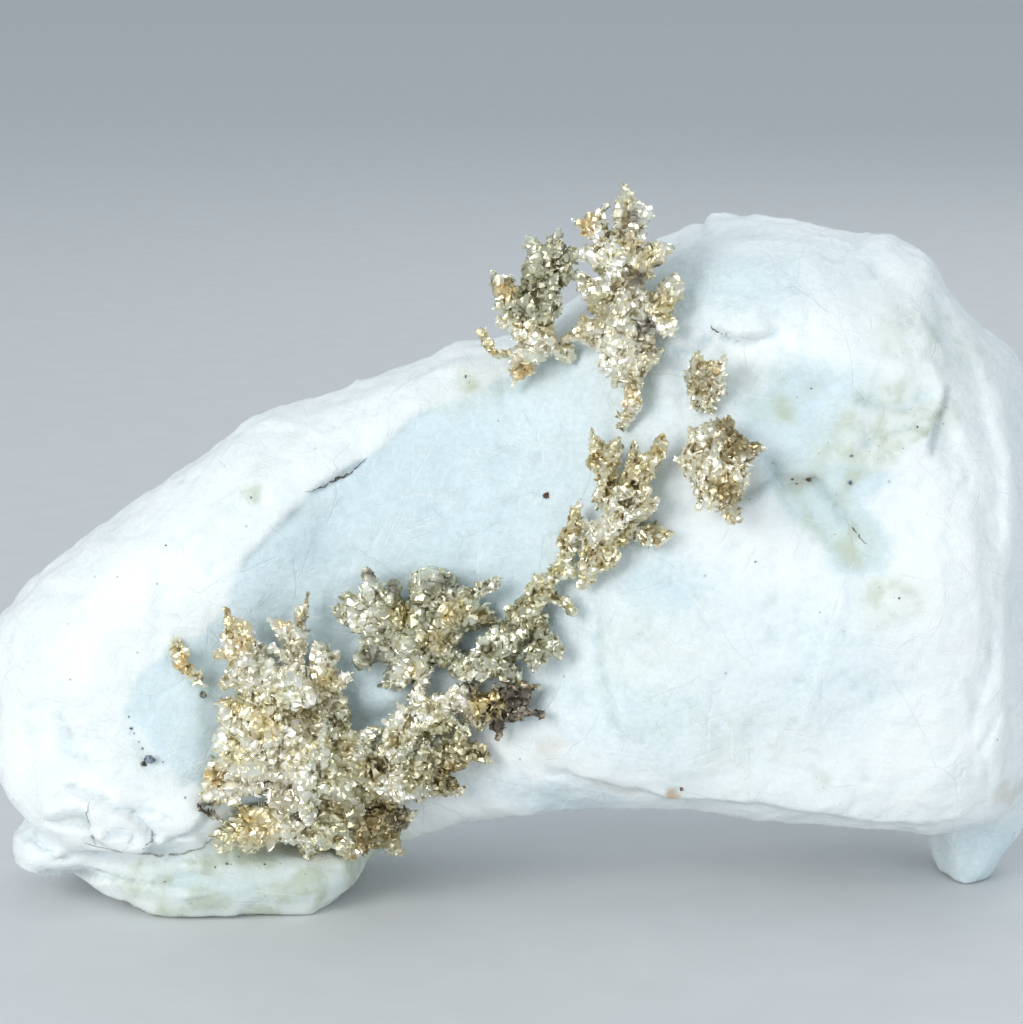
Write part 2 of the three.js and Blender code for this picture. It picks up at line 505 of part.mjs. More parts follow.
// One limb, as a stack of pointed crystals: every other corner of a ring stands out and leans towards the
// tip, and the ones between fall back. It comes with a wider copy that its neighbours are cut to fit.
function limbSolids(axis, seed) {
  const random = chance(seed);
  const curve = new THREE.CatmullRomCurve3(axis.map(([x, z, lift]) => offFace(x, z, lift)), false, "chordal");
  const thickness = Math.max(...axis.map((place) => place[3]));
  const steps = Math.max(1, Math.round(curve.getLength() / (CRYSTAL_STEP + CRYSTAL_GROWTH * thickness)));
  const sides = thickness > THICK_LIMB ? 6 : 4;
  const radiusAt = (u) => {
    const place = curve.getUtoTmapping(u) * (axis.length - 1);
    const i = Math.min(Math.floor(place), axis.length - 2);
    return lerp(axis[i][3], axis[i + 1][3], place - i);
  };
  const roll = random() * Math.PI;
  const rings = [];
  const wideRings = [];
  for (let i = 0; i <= steps; i++) {
    const centre = curve.getPointAt(i / steps);
    const along = curve.getTangentAt(i / steps);
    const across = new THREE.Vector3(0, -1, 0).cross(along).normalize();
    const inward = along.clone().cross(across);
    const radius = radiusAt(i / steps);
    const ring = [];
    const wideRing = [];
    for (let j = 0; j < sides; j++) {
      const angle = roll + (2 * Math.PI * j) / sides;
      const ray = across.clone().multiplyScalar(Math.cos(angle)).addScaledVector(inward, Math.sin(angle));
      const isPoint = (i + j) % 2 === 0;
      const reach = radius * lerp(...(isPoint ? POINT_REACH : NOTCH_REACH), random());
      const foot = centre.clone().addScaledVector(along, isPoint ? POINT_LEAN * radius : 0);
      ring.push(foot.clone().addScaledVector(ray, reach));
      wideRing.push(foot.clone().addScaledVector(ray, reach + WIDENING));
    }
    rings.push(ring);
    wideRings.push(wideRing);
  }
  const end = (u, distance) => curve.getPointAt(u).addScaledVector(curve.getTangentAt(u), distance);
  const [first, last] = [radiusAt(0), radiusAt(1)];
  const skin = (shape, extra) => {
    return solidOf(skinOver(shape, end(0, -first - extra), end(1, TIP_REACH * last + extra)));
  };
  return { solid: skin(rings, 0), wide: skin(wideRings, WIDENING) };
}

// The same limb, started inside the rock a little behind its first place.
function rooted(axis) {
  const [[x, z, , radius], [nextX, nextZ]] = axis;
  const back = (0.9 * radius) / Math.hypot(nextX - x, nextZ - z);
  return [[x + (x - nextX) * back, z + (z - nextZ) * back, -ROOT_DEPTH, radius], ...axis];
}

// One growth: its limbs, the first of them rooted in the rock, joined, and cut clear of all that is there.
const standing = [rockClearance];
let nextSeed = 1;
function growth(name, limbs) {
  const parts = limbs.map((axis, i) => limbSolids(i ? axis : rooted(axis), nextSeed++));
  const whole = cutAway(joined(parts.map((part) => part.solid)), standing);
  const pieces = whole.decompose().sort((a, b) => b.volume() - a.volume());
  standing.push(joined(parts.map((part) => part.wide)));
  return pieces[0];
}

// ---------------------------------------------------------------- the specimen
function meshOf(solid, name, material) {
  const { numProp, numVert, vertProperties, triVerts } = solid.getMesh();
  const positions = new Float32Array(numVert * 3);
  for (let i = 0; i < numVert; i++)
    positions.set(vertProperties.subarray(i * numProp, i * numProp + 3), i * 3);
  const geometry = new THREE.BufferGeometry()
    .setAttribute("position", new THREE.BufferAttribute(positions, 3))
    .setIndex(new THREE.BufferAttribute(triVerts, 1));
  geometry.computeVertexNormals();
  const mesh = new THREE.Mesh(geometry, material);
  mesh.name = name;
  return mesh;
}

// A dark grain set in the rock: a many-sided pebble, cut clear of the rock under it.
const GRAIN_HALF_DEPTH = 0.6;
const GRAIN_LIFT = 0.35; // how far the middle of a grain stands off the face
function grain(x, z, halfWide, halfHigh, turn) {
  const pebble = new THREE.IcosahedronGeometry(1, 0).scale(halfWide, GRAIN_HALF_DEPTH, halfHigh);
  pebble.rotateY(degToRad(turn));
  const { y } = offFace(x, z, GRAIN_LIFT);
  return solidOf(pebble.translate(x, y, z)).subtract(rockClearance);
}

const whiteRock = new THREE.MeshStandardMaterial({ color: 0xeef1f2, roughness: 0.7 });
const silver = new THREE.MeshStandardMaterial({ color: 0xb7a67f, roughness: 0.35, metalness: 1 });
const darkOre = new THREE.MeshStandardMaterial({ color: 0x343c46, roughness: 0.4, metalness: 0.6 });
const tarnish = new THREE.MeshStandardMaterial({ color: 0x5b4a38, roughness: 0.5, metalness: 0.8 });

const specimen = new THREE.Group();
specimen.add(meshOf(rock, "rock_matrix", whiteRock));
for (const [name, limbs] of Object.entries(growths))
  specimen.add(meshOf(growth(name, limbs), name, name === "tarnished_knot" ? tarnish : silver));
specimen.add(meshOf(grain(-35.3, 16.5, 0.8, 0.6, 20), "dark_grain_large", darkOre));
specimen.add(meshOf(grain(-30.1, 22.6, 0.5, 0.5, 0), "dark_grain_round", darkOre));

// The origin is under the middle of the object, on the surface that it stands on.
const box = new THREE.Box3().setFromObject(specimen);
specimen.position.set(-(box.min.x + box.max.x) / 2, -(box.min.y + box.max.y) / 2, 0);
export default specimen;
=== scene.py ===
# %% [markdown]
# # Native silver on a white rock
#
# The specimen is a pale lump of massive rock, as long as a hand is wide. Branches of native silver
# run across its face and stand up over its top edge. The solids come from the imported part, and this
# lesson dresses them: the rock gets a weathered skin, and each silver branch gets a crumpled body
# and a coat of crystals.

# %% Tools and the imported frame
import math

import bmesh
import bpy
import numpy as np
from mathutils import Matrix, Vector, noise
from mathutils.bvhtree import BVHTree


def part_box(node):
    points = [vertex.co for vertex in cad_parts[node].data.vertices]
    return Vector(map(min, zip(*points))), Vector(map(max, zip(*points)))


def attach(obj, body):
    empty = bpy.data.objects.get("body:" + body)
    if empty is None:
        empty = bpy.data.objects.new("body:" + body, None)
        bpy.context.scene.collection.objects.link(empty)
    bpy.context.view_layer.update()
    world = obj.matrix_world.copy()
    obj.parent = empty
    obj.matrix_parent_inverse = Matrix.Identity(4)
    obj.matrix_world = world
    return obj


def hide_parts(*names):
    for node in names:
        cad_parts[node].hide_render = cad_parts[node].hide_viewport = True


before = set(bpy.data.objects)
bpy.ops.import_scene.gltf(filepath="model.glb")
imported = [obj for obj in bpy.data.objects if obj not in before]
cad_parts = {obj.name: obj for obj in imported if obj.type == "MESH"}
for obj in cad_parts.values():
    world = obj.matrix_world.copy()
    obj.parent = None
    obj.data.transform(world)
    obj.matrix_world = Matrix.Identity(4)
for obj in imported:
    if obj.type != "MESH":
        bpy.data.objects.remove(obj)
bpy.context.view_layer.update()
MM = 0.001
ORIGIN = np.array([-2.75, -0.643, 0.0])  # where the drawing's zero lies in the frame, in millimetres

# %% [markdown]
# ## The camera
#
# It looks straight at the face from a little above, through a long lens, which keeps a small object
# from bulging. It is built first, so that every later step can be looked at.

# %% The camera
TARGET = Vector((-2.75 * MM, -0.64 * MM, 38.4 * MM))
HEIGHT_ANGLE = math.radians(12)
DISTANCE = 0.313

camera_data = bpy.data.cameras.new("camera")
camera_data.lens = 110
camera_data.sensor_width = 36
camera = bpy.data.objects.new("camera", camera_data)
bpy.context.scene.collection.objects.link(camera)
away = Vector((0, -math.cos(HEIGHT_ANGLE), math.sin(HEIGHT_ANGLE)))
camera.location = TARGET + DISTANCE * away
camera.rotation_euler = (-away).to_track_quat("-Z", "Y").to_euler()
camera_data.clip_start = 0.01
bpy.context.scene.camera = camera
print("camera at", tuple(round(v, 4) for v in camera.location))

# %% [markdown]
# ## Small helpers
#
# A material is a net of nodes. One helper adds a node and either fills in or links each of its
# inputs, which keeps the recipes below short enough to read. The rest build on it: sums, stretched
# ranges, blended colours, noise, groups and whole finishes.

# %% Helpers for nodes
def fill(tree, socket, value):
    """A socket linked to another one, or set to a plain value. Colours are given without an alpha."""
    if isinstance(value, bpy.types.NodeSocket):
        tree.links.new(value, socket)
    else:
        socket.default_value = (*value, 1.0) if socket.type == "RGBA" else value


def feed(tree, made, inputs):
    """A node with several of its inputs filled in or linked."""
    for name, value in inputs.items():
        fill(tree, made.inputs[name], value)
    return made


def node(tree, kind, inputs=None, **settings):
    """A new node, with its settings and its inputs."""
    made = tree.nodes.new(kind)
    for name, value in settings.items():
        setattr(made, name, value)
    return feed(tree, made, inputs or {})


def math_of(tree, operation, first, second=0.0, third=0.0):
    """One sum, product or other operation on values."""
    return node(tree, "ShaderNodeMath", {0: first, 1: second, 2: third}, operation=operation).outputs[0]


def product(tree, first, second):
    return math_of(tree, "MULTIPLY", first, second)


def sum_of(tree, first, amount, second):
    """The first value, multiplied by an amount, and the second added."""
    return math_of(tree, "MULTIPLY_ADD", first, amount, second)


def ranged(tree, value, low, high, to_low=0.0, to_high=1.0):
    """A value stretched from low..high to another range, with soft ends."""
    inputs = {"Value": value, "From Min": low, "From Max": high, "To Min": to_low, "To Max": to_high}
    return node(tree, "ShaderNodeMapRange", inputs, interpolation_type="SMOOTHSTEP").outputs["Result"]


def blended(tree, share, first, second):
    """The first colour turned into the second by a share."""
    made = node(tree, "ShaderNodeMix", data_type="RGBA")
    for socket, value in zip((made.inputs[0], made.inputs[6], made.inputs[7]), (share, first, second)):
        fill(tree, socket, value)
    return made.outputs[2]


def noisy(tree, where, scale, detail=2.0, roughness=0.5):
    """Cloudy noise, from 0 to 1."""
    inputs = {"Vector": where, "Scale": scale, "Detail": detail, "Roughness": roughness}
    return node(tree, "ShaderNodeTexNoise", inputs).outputs["Fac"]


print("helpers for nodes ready")

# %% Helpers for groups and materials
def new_group(name, inputs, output):
    """A shader node group: its tree, its named inputs, its one output, and the places on the object."""
    group = bpy.data.node_groups.new(name, "ShaderNodeTree")
    for label, value in inputs.items():
        socket = group.interface.new_socket(label, in_out="INPUT", socket_type="NodeSocketFloat")
        socket.default_value = value
    group.interface.new_socket(output, in_out="OUTPUT", socket_type="NodeSocketFloat")
    given = group.nodes.new("NodeGroupInput").outputs
    put_out = group.nodes.new("NodeGroupOutput").inputs[output]
    return group, given, put_out, node(group, "ShaderNodeTexCoord").outputs["Object"]


def use(tree, group, **values):
    """The group placed in a material, with its own values, as its one output."""
    made = tree.nodes.new("ShaderNodeGroup")
    made.node_tree = group
    for name, value in values.items():
        fill(tree, made.inputs[name.capitalize()], value)
    return made.outputs[0]


def new_material(name):
    """A material with a plain Principled shader, ready to be fed."""
    made = bpy.data.materials.new(name)
    made.use_nodes = True
    return made, made.node_tree, made.node_tree.nodes["Principled BSDF"]


def finished(tree, shader, tone, roughness, height, strength, depth):
    """A shader fed with a colour, a roughness, and bumps of a depth in millimetres."""
    bump = node(tree, "ShaderNodeBump", {"Height": height, "Strength": strength, "Distance": depth * MM})
    feed(tree, shader, {"Base Color": tone, "Roughness": roughness, "Normal": bump.outputs["Normal"]})


print("helpers for groups and materials ready")

# %% [markdown]
# ## The studio
#
# A wide pale floor that curls up far away gives a seamless ground from every side. White rock and
# bright metal both want soft light from nearly everywhere, so the room itself is bright. Three large
# lamps give it a direction: one on the left in front, a weaker one low on the right, and one behind.

# %% The floor
def bowl(name, radius, rim, flat=0.6, rings=48, sides=96):
    """A disc that lies flat over a share of its radius and curls up towards its edge."""
    mesh = bmesh.new()
    rows = []
    for i in range(1, rings + 1):
        share = i / rings
        lift = rim * max(0.0, (share - flat) / (1 - flat)) ** 2
        turns = [2 * math.pi * j / sides for j in range(sides)]
        ring = [(radius * share * math.cos(a), radius * share * math.sin(a), lift) for a in turns]
        rows.append([mesh.verts.new(place) for place in ring])
    middle = mesh.verts.new((0, 0, 0))
    for j in range(sides):
        mesh.faces.new((middle, rows[0][j], rows[0][(j + 1) % sides]))
        for low, high in zip(rows, rows[1:]):
            mesh.faces.new((low[j], high[j], high[(j + 1) % sides], low[(j + 1) % sides]))
    data = bpy.data.meshes.new(name)
    mesh.to_mesh(data)
    mesh.free()
    data.shade_smooth()
    made = bpy.data.objects.new(name, data)
    bpy.context.scene.collection.objects.link(made)
    return made


floor = bowl("floor", radius=3.0, rim=1.2)
paper, tree, shader = new_material("studio_paper")
fibres = node(tree, "ShaderNodeTexNoise", {"Scale": 900.0, "Detail": 3.0})
tone = blended(tree, fibres.outputs["Fac"], (0.68, 0.69, 0.70), (0.74, 0.75, 0.76))
feed(tree, shader, {"Base Color": tone, "Roughness": 0.75})
floor.data.materials.append(paper)
print("floor of", len(floor.data.polygons), "faces")

# %% The lamps
def soft_lamp(name, place, size, power, tint):
    """A square lamp that faces the specimen."""
    data = bpy.data.lights.new(name, "AREA")
    data.size = size
    data.energy = power
    data.color = tint
    made = bpy.data.objects.new(name, data)
    made.location = place
    made.rotation_euler = (TARGET - Vector(place)).to_track_quat("-Z", "Y").to_euler()
    bpy.context.scene.collection.objects.link(made)


lamps = {  # place and size in metres, power in watts, tint
    "key_lamp": ((-0.40, -0.44, 0.27), 0.36, 2.22, (1.0, 0.99, 0.97)),
    "fill_lamp": ((0.40, -0.48, 0.12), 0.36, 1.08, (0.96, 0.99, 1.0)),
    "rim_lamp": ((0.22, 0.45, 0.45), 0.35, 0.6, (0.95, 0.98, 1.0)),
}
for name, values in lamps.items():
    soft_lamp(name, *values)
room = bpy.data.worlds.new("room")
room.use_nodes = True
sky = room.node_tree.nodes["Background"]
feed(room.node_tree, sky, {"Color": (0.84, 0.93, 1.0), "Strength": 0.60})
bpy.context.scene.world = room
bpy.context.scene.view_settings.view_transform = "Standard"
print("lamps:", len(lamps), "in a bright room")

# %% [markdown]
# ## The skin of the rock
#
# The solid rock has flat facets a few millimetres wide. Wrapping it in an even net of squares of less
# than half a millimetre, and smoothing that net, gives a skin fine enough to carve. Relief is then a
# matter of moving each point in or out along its normal, by a sum of waves, noise and single creases.

# %% A fine net over a solid
def points_of(mesh, kind="co"):
    """The places of a mesh's points, or the ways that they face."""
    values = np.empty(len(mesh.vertices) * 3, np.float32)
    source = mesh.vertices if kind == "co" else mesh.vertex_normals
    source.foreach_get("co" if kind == "co" else "vector", values)
    return values.reshape(-1, 3).astype(float)


def with_modifiers(mesh, modifiers):
    """The mesh that comes out of a row of modifiers. The first mesh is used up."""
    source = bpy.data.objects.new("source", mesh)
    bpy.context.scene.collection.objects.link(source)
    for kind, settings in modifiers:
        modifier = source.modifiers.new(kind.lower(), kind)
        for name, value in settings.items():
            setattr(modifier, name, value)
    made = bpy.data.meshes.new_from_object(source.evaluated_get(bpy.context.evaluated_depsgraph_get()))
    bpy.data.objects.remove(source)
    bpy.data.meshes.remove(mesh)
    return made


def wrapped(mesh, net, passes):
    """An even net of squares over a closed mesh, smoothed."""
    joined = bmesh.new()
    joined.from_mesh(mesh)
    bmesh.ops.remove_doubles(joined, verts=joined.verts, dist=1e-6)
    joined.to_mesh(mesh)
    joined.free()
    voxels = {"mode": "VOXEL", "voxel_size": net}
    return with_modifiers(mesh, [("REMESH", voxels), ("SMOOTH", {"factor": 0.5, "iterations": passes})])


def standing_out(mesh, passes):
    """How far each point stands out of the same mesh smoothed away, in millimetres."""
    smooth = with_modifiers(mesh.copy(), [("SMOOTH", {"factor": 0.5, "iterations": passes})])
    out = ((points_of(mesh) - points_of(smooth)) * points_of(mesh, "normal")).sum(1) / MM
    bpy.data.meshes.remove(smooth)
    return out


ROCK_NET = 0.475 * MM
ROCK_PASSES = 22  # of smoothing, which takes the facets off
rock_mesh = wrapped(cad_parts["rock_matrix"].data.copy(), ROCK_NET, ROCK_PASSES)
print("rock net:", len(rock_mesh.vertices), "points")

# %% [markdown]
# The face has marks of its own: a ledge under the brow where a flake has come off, a crack along the
# rim of the dish, a valley with a notch beside it, a fold down the right side and thin plates over
# the lip. Each is a line drawn on the face, with how deep it cuts and how far one side of it stands
# over the other.

# %% Lines that are carved into the face
creases = [  # the line from place to place, how deep it cuts, how wide, and the step up on its left
    ([(-26.7, 34.9), (-24.4, 37.7), (-22.1, 40.5), (-20.2, 42.8)], 0.05, 0.6, 0.25),
    ([(-20.2, 42.8), (-17.3, 44.0), (-15.2, 45.4), (-14.1, 46.4)], 0.25, 0.35, 0.45),
    ([(-14.1, 46.4), (-11.4, 49.1), (-9.5, 50.5), (-7.2, 51.8)], 0.05, 0.7, 0.25),
    ([(14.9, 56.8), (17.5, 57.0), (19.2, 58.8)], 0.15, 0.5, 0.6),
    ([(19.2, 58.8), (20.2, 58.4), (21.8, 57.9), (23.8, 58.3), (25.6, 59.2)], 0.2, 0.35, 0.6),
    ([(31.6, 52.0), (35.5, 50.8), (37.9, 50.8), (40.3, 52.0), (42.0, 53.6)], 0.15, 0.7, -0.7),
    ([(42.4, 54.2), (41.0, 50.8), (40.5, 49.2), (39.9, 46.0)], 0.4, 0.4, -0.45),
    ([(23.7, 46.7), (26.4, 43.7), (28.8, 43.9), (30.1, 42.0), (31.6, 40.4), (33.6, 38.1)],
     0.55, 0.5, 0.45),
    ([(20.5, 41.0), (23.0, 43.2), (26.0, 44.0)], 0.2, 0.7, -0.5),
    ([(33.0, 47.0), (36.0, 48.4), (39.4, 49.4)], 0.3, 0.45, -0.4),
    ([(39.0, 66.8), (42.6, 60.8), (45.0, 55.6), (46.9, 47.5), (47.3, 41.5), (46.9, 32.3)], 0.0, 1.2, 0.5),
    ([(46.9, 32.3), (46.4, 25.0), (44.6, 18.0), (45.6, 12.0)], 0.05, 0.9, 0.25),
    ([(47.4, 21.7), (45.4, 17.5), (47.0, 12.5)], 0.1, 0.4, 0.15),
    ([(8.4, 31.9), (8.7, 26.0), (9.9, 20.7), (11.8, 16.8)], 0.05, 0.9, 0.4),
    ([(31.9, 35.2), (30.8, 30.4), (29.3, 25.1), (27.9, 20.2), (26.9, 17.3)], -0.15, 0.4, 0.12),
    ([(1.8, 16.0), (8.9, 14.0), (16.2, 12.3), (23.9, 12.1), (36.4, 9.9), (46.0, 10.2)], 0.0, 0.8, 0.6),
    ([(-36.9, 21.4), (-36.5, 18.4), (-34.7, 15.8), (-32.2, 14.9), (-28.9, 14.0)], 0.05, 0.9, 0.35),
    ([(-47.0, 9.6), (-43.8, 10.6), (-41.4, 11.0), (-40.5, 8.4), (-38.7, 7.2)], 0.2, 0.35, 0.6),
    ([(-38.7, 7.2), (-35.8, 7.0), (-34.9, 8.4), (-36.1, 10.3), (-38.7, 11.9)], 0.3, 0.35, 0.5),
    ([(-43.8, 13.6), (-41.0, 13.0), (-38.7, 11.9)], 0.1, 0.5, -0.4),
    ([(-48.0, 9.0), (-44.9, 6.2), (-39.6, 6.7), (-34.8, 7.2), (-30.9, 9.2), (-28.4, 12.4)],
     0.25, 0.35, 0.6),
    ([(-45.0, 4.6), (-40.9, 4.4), (-36.9, 3.9), (-33.0, 4.4), (-27.0, 5.6)], 0.2, 0.4, 0.4),
    ([(-34.0, 1.6), (-28.9, 2.8), (-23.8, 4.0), (-20.5, 4.8)], -0.08, 0.35, 0.15),
    ([(-53.0, 31.0), (-48.0, 33.5), (-41.0, 33.0)], 0.1, 1.2, 0.3),
    ([(-46.0, 22.0), (-44.0, 17.0), (-40.0, 15.5)], 0.1, 0.9, -0.3),
]
print("creases:", len(creases), "with", sum(len(crease[0]) for crease in creases), "places")

# %% How a crease moves the skin
FADE = 0.2  # the share of a crease that fades away at each end
LEDGE_REACH = 3.0  # how far a step is felt beside its crease, in millimetres


def beside(points, line):
    """How far each point lies to the left of a drawn line, and how far along the line, from 0 to 1."""
    line = np.array(line)
    starts, ends = line[:-1], line[1:]
    lengths = np.linalg.norm(ends - starts, axis=1)
    before = np.concatenate([[0], np.cumsum(lengths)])
    nearest = np.full(len(points), np.inf)
    side = np.zeros(len(points))
    along = np.zeros(len(points))
    for start, end, length, passed in zip(starts, ends, lengths, before):
        way = (end - start) / length
        offset = points - start
        reach = np.clip(offset @ way, 0, length)
        distance = np.linalg.norm(offset - reach[:, None] * way, axis=1)
        closer = distance < nearest
        nearest[closer] = distance[closer]
        turn = way[0] * offset[:, 1] - way[1] * offset[:, 0]
        side[closer] = np.sign(turn[closer])
        along[closer] = ((passed + reach) / before[-1])[closer]
    return side * nearest, along


def crease_height(face_points, line, cut, wide, step):
    """How far a crease moves the skin out at each place on the face."""
    aside, along = beside(face_points, line)
    ends = np.clip(np.minimum(along, 1 - along) / FADE, 0, 1)
    groove = -cut * np.exp(-((aside / wide) ** 2))
    ledge = step * 0.5 * np.tanh(aside / (0.5 * wide)) * np.exp(-np.abs(aside) / LEDGE_REACH)
    return ends * (groove + ledge)


print("a crease fades over", FADE, "of its length at each end")

# %% [markdown]
# Over the creases goes what weather and breaking leave on massive rock: slow swells, soft crests, a
# fine grit and shallow pits, which noise with several sizes of grain makes. Cells that lean their own
# ways add the flat patches of old breaks, and a saw-toothed height makes thin slabs beside the lip. Three
# soft spots raise the shoulder at the top right and the rock in two gaps of the silver. The drawn lines
# are bent by the same noise, because nothing in a rock runs straight. All heights and sizes are in
# millimetres.

# %% Noise, cells and soft spots
FACE = -12.0  # the plane of the drawing, in millimetres along Y
SLANT = math.tan(HEIGHT_ANGLE)
MIXING = np.array([[12.99, 39.35, 73.16], [78.23, 11.14, 52.24], [37.72, 83.16, 9.15]])
FULL, GONE = 0.40, 1.25  # a spot is full up to the first share of its reach, and gone at the second


def noise_over(points, size, octaves=4, shift=0.0):
    """Cloudy noise of a given grain size at each point, about -1 to 1."""
    places = points / size + shift
    return np.array([noise.fractal(Vector(p), 1.0, 2.1, octaves) for p in places])


def crests_over(points, size, shift=0.0):
    """Noise with sharp crests, about 0 to 1."""
    places = points / size + shift
    return np.array([noise.ridged_multi_fractal(Vector(p), 1.0, 2.1, 3, 1.0, 2.0) for p in places]) / 2.5


def drawn(places):
    """Where places fall on the drawing of the face, which is laid on at a slant from above."""
    return np.stack([places[:, 0], places[:, 2] + SLANT * (places[:, 1] - FACE)], 1)


def cells_over(points, size, shift):
    """How far inside its cell each point is, its cell's chance numbers, and its way from the middle."""
    places = points / size + shift
    found = [noise.voronoi(Vector(p)) for p in places]
    inside = np.array([f[0][1] - f[0][0] for f in found])
    middles = np.array([f[1][0][:] for f in found])
    lots = np.sin(middles @ MIXING) * 4375.85
    return inside, lots - np.floor(lots), places - middles


def soft_spot(points, x, z, half_long, half_high, turn, strength):
    """A spot that is full in its middle and fades over its outer half."""
    c, s = math.cos(math.radians(turn)), math.sin(math.radians(turn))
    along = ((points[:, 0] - x) * c + (points[:, 1] - z) * s) / half_long
    across = ((points[:, 1] - z) * c - (points[:, 0] - x) * s) / half_high
    out = np.clip((GONE - np.hypot(along, across)) / (GONE - FULL), 0, 1)
    return strength * out * out * (3 - 2 * out)


def facets_over(points, size, shift):
    """Flat patches that lean their own ways and meet in shallow valleys, about -1 to 1."""
    inside, lots, offsets = cells_over(points, size, shift)
    return (offsets * (lots - 0.5)).sum(1) * 3 * np.clip(inside * 5, 0, 1)


print("the drawing lies at", FACE, "mm and slants by", round(SLANT, 3))

# %% Carving the skin
CARVING = 2.0  # every crease is cut this many times as deep as its row says
raised = [  # x, z, half length, half height, tilt, height
    (38.5, 66.2, 4.5, 3.0, -35, 1.1), (-25, 12.8, 2.6, 1.4, 10, 1.8), (-12.6, 24.0, 4.5, 4.0, 0, 1.3),
]
places = points_of(rock_mesh) / MM - ORIGIN
normals = points_of(rock_mesh, "normal")
facing = np.clip((0.25 - normals[:, 1]) / 0.5, 0, 1)  # 1 on the face, 0 on the back
bends = np.stack([noise_over(places, size=3.5, octaves=3, shift=shift) for shift in (40.0, 60.0)], 1)
on_face = drawn(places)
bent = on_face + 0.35 * bends
warped = places + 0.8 * np.concatenate([bends, bends[:, :1]], 1)

swells = 0.20 * noise_over(places, size=9.0)
crests = 0.20 * (crests_over(places, size=8.0, shift=7.0) - 0.5) * (1.7 - facing)
grit = 0.04 * noise_over(places, size=1.3, octaves=3, shift=3.0)
pits = -0.35 * np.clip(noise_over(places, size=2.4, octaves=2, shift=11.0) - 0.40, 0, 1)
facets = 0.30 * facets_over(warped, size=8.5, shift=2.0) + 0.14 * facets_over(warped, size=3.6, shift=6.0)
facets = facets * (1.9 - 0.9 * facing)
carved = CARVING * facing * sum(crease_height(bent, *crease) for crease in creases)
layer = on_face[:, 1] + 0.16 * on_face[:, 0] + 1.2 * noise_over(places, size=9.0, octaves=1, shift=21.0)
slabs = 0.7 * soft_spot(on_face, -40, 7, 11, 6.5, 0, 1) * (layer / 2.7 % 1 - 0.5)
risen = sum(soft_spot(on_face, *spot) for spot in raised)
height = swells + crests + grit + pits + facets + slabs + carved + risen
moved = places + normals * height[:, None]
moved[:, 2] = np.where(places[:, 2] < 0.02, 0.0, np.maximum(moved[:, 2], 0.0))
rock_mesh.vertices.foreach_set("co", ((moved + ORIGIN) * MM).ravel())
rock_mesh.update()
rock_mesh.shade_smooth()
print("relief from", round(float(height.min()), 2), "to", round(float(height.max()), 2), "mm")

# %% [markdown]
# Stains are laid on the skin's own points as soft spots, each with a place, a size and a tilt. Two
# grey spots and one rust spot are painted shade instead: the shadow beside the round tuft and the
# shade of a shallow valley. The material below reads them as masks. This keeps each spot in its place,
# whatever the camera does. The hollows are one more mask: they are where a point lies under the same
# skin smoothed away, and the material paints shade and grime there.

# %% Stains and painted shade on the face
stains_and_shade = {  # x, z, half length, half height, tilt, strength
    "grey": [
        (28, 45, 9, 5, -40, 0.8), (31, 41, 5, 3, -50, 1.0), (28, 52, 8, 5, 0, 0.6),
        (20, 62, 9, 5, 10, 0.4), (-32, 21, 5, 6, 0, 0.55), (10, 20, 16, 5, -12, 0.4),
        (-25, 3.5, 14, 3, 0, 0.7), (48, 5, 6, 5, 0, 0.8), (4, 12, 10, 2.5, -12, 0.7),
        (51, 40, 4, 30, 0, 0.2), (17, 27, 24, 9, -5, 0.4), (22, 66, 16, 6, 0, 0.35),
        (33, 37.6, 3.2, 3.4, 20, 1.1), (25.5, 51, 2.6, 2.0, 0, 0.6), (33, 44, 3.6, 1.4, 0, 0.7),
        # painted shadow: (23.2, 44.2) is the shadow beside the round tuft, and (14.3, 34.3) the shade of a
        # shallow valley
        (29, 53, 4, 3, 0, 0.5), (23.2, 44.2, 2.8, 1.9, 40, 1.3), (14.3, 34.3, 5, 3.5, 0, 0.6),
    ],
    "green": [
        (34, 49, 8, 4, 35, 0.9), (39, 49, 2.6, 0.9, 32, 1.8), (41.4, 50.6, 1.2, 2.6, -15, 1.2),
        (30, 41, 7, 3, -45, 0.7), (14, 26, 9, 8, 0, 0.25), (22, 18, 9, 5, 0, 0.25),
        (31.8, 43.6, 1.6, 0.9, 20, 1.5), (40, 58, 8, 4, -30, 0.35), (36.0, 32.4, 4.0, 3.0, 0, 0.7),
        (33, 37.6, 3.0, 3.0, 20, 0.5), (25.8, 51.4, 2.2, 1.8, 0, 0.9), (-26, 43, 9, 1.4, 50, 0.35),
        (-25.4, 42.4, 1.6, 1.4, 0, 0.7), (-4.5, 54.6, 1.6, 1.2, 0, 0.9), (-2, 53, 7, 1.6, 12, 0.4),
        (24, 53, 6, 2.5, 0, 0.4), (30, 14.4, 1.6, 1.4, 0, 0.5), (-24, 4, 16, 5, 8, 1.7),
        (-37, 5.4, 5, 0.7, 0, 0.5), (-34, 20, 9, 6, 20, 0.2),
    ],
    "rust": [
        # painted shadow: (23.0, 44.0) browns the shadow beside the round tuft
        (16.3, 13.4, 0.9, 0.7, 30, 1.2), (27.7, 44.0, 2.0, 0.9, 0, 0.3), (23.0, 44.0, 2.2, 1.6, 40, 0.4),
        (49.5, 12.6, 2.6, 1.2, 0, 0.35), (-21.5, 6.6, 4, 1.2, 5, 0.3), (4, 17.5, 2.4, 1.4, 0, 0.25),
        (10, 12.9, 3, 0.5, -8, 0.3),
    ],
}


def write_mask(mesh, name, values):
    """A number kept on every point of a mesh, for its material to read."""
    mask = mesh.attributes.new(name, "FLOAT", "POINT")
    mask.data.foreach_set("value", np.clip(values, 0, 1).astype(np.float32))


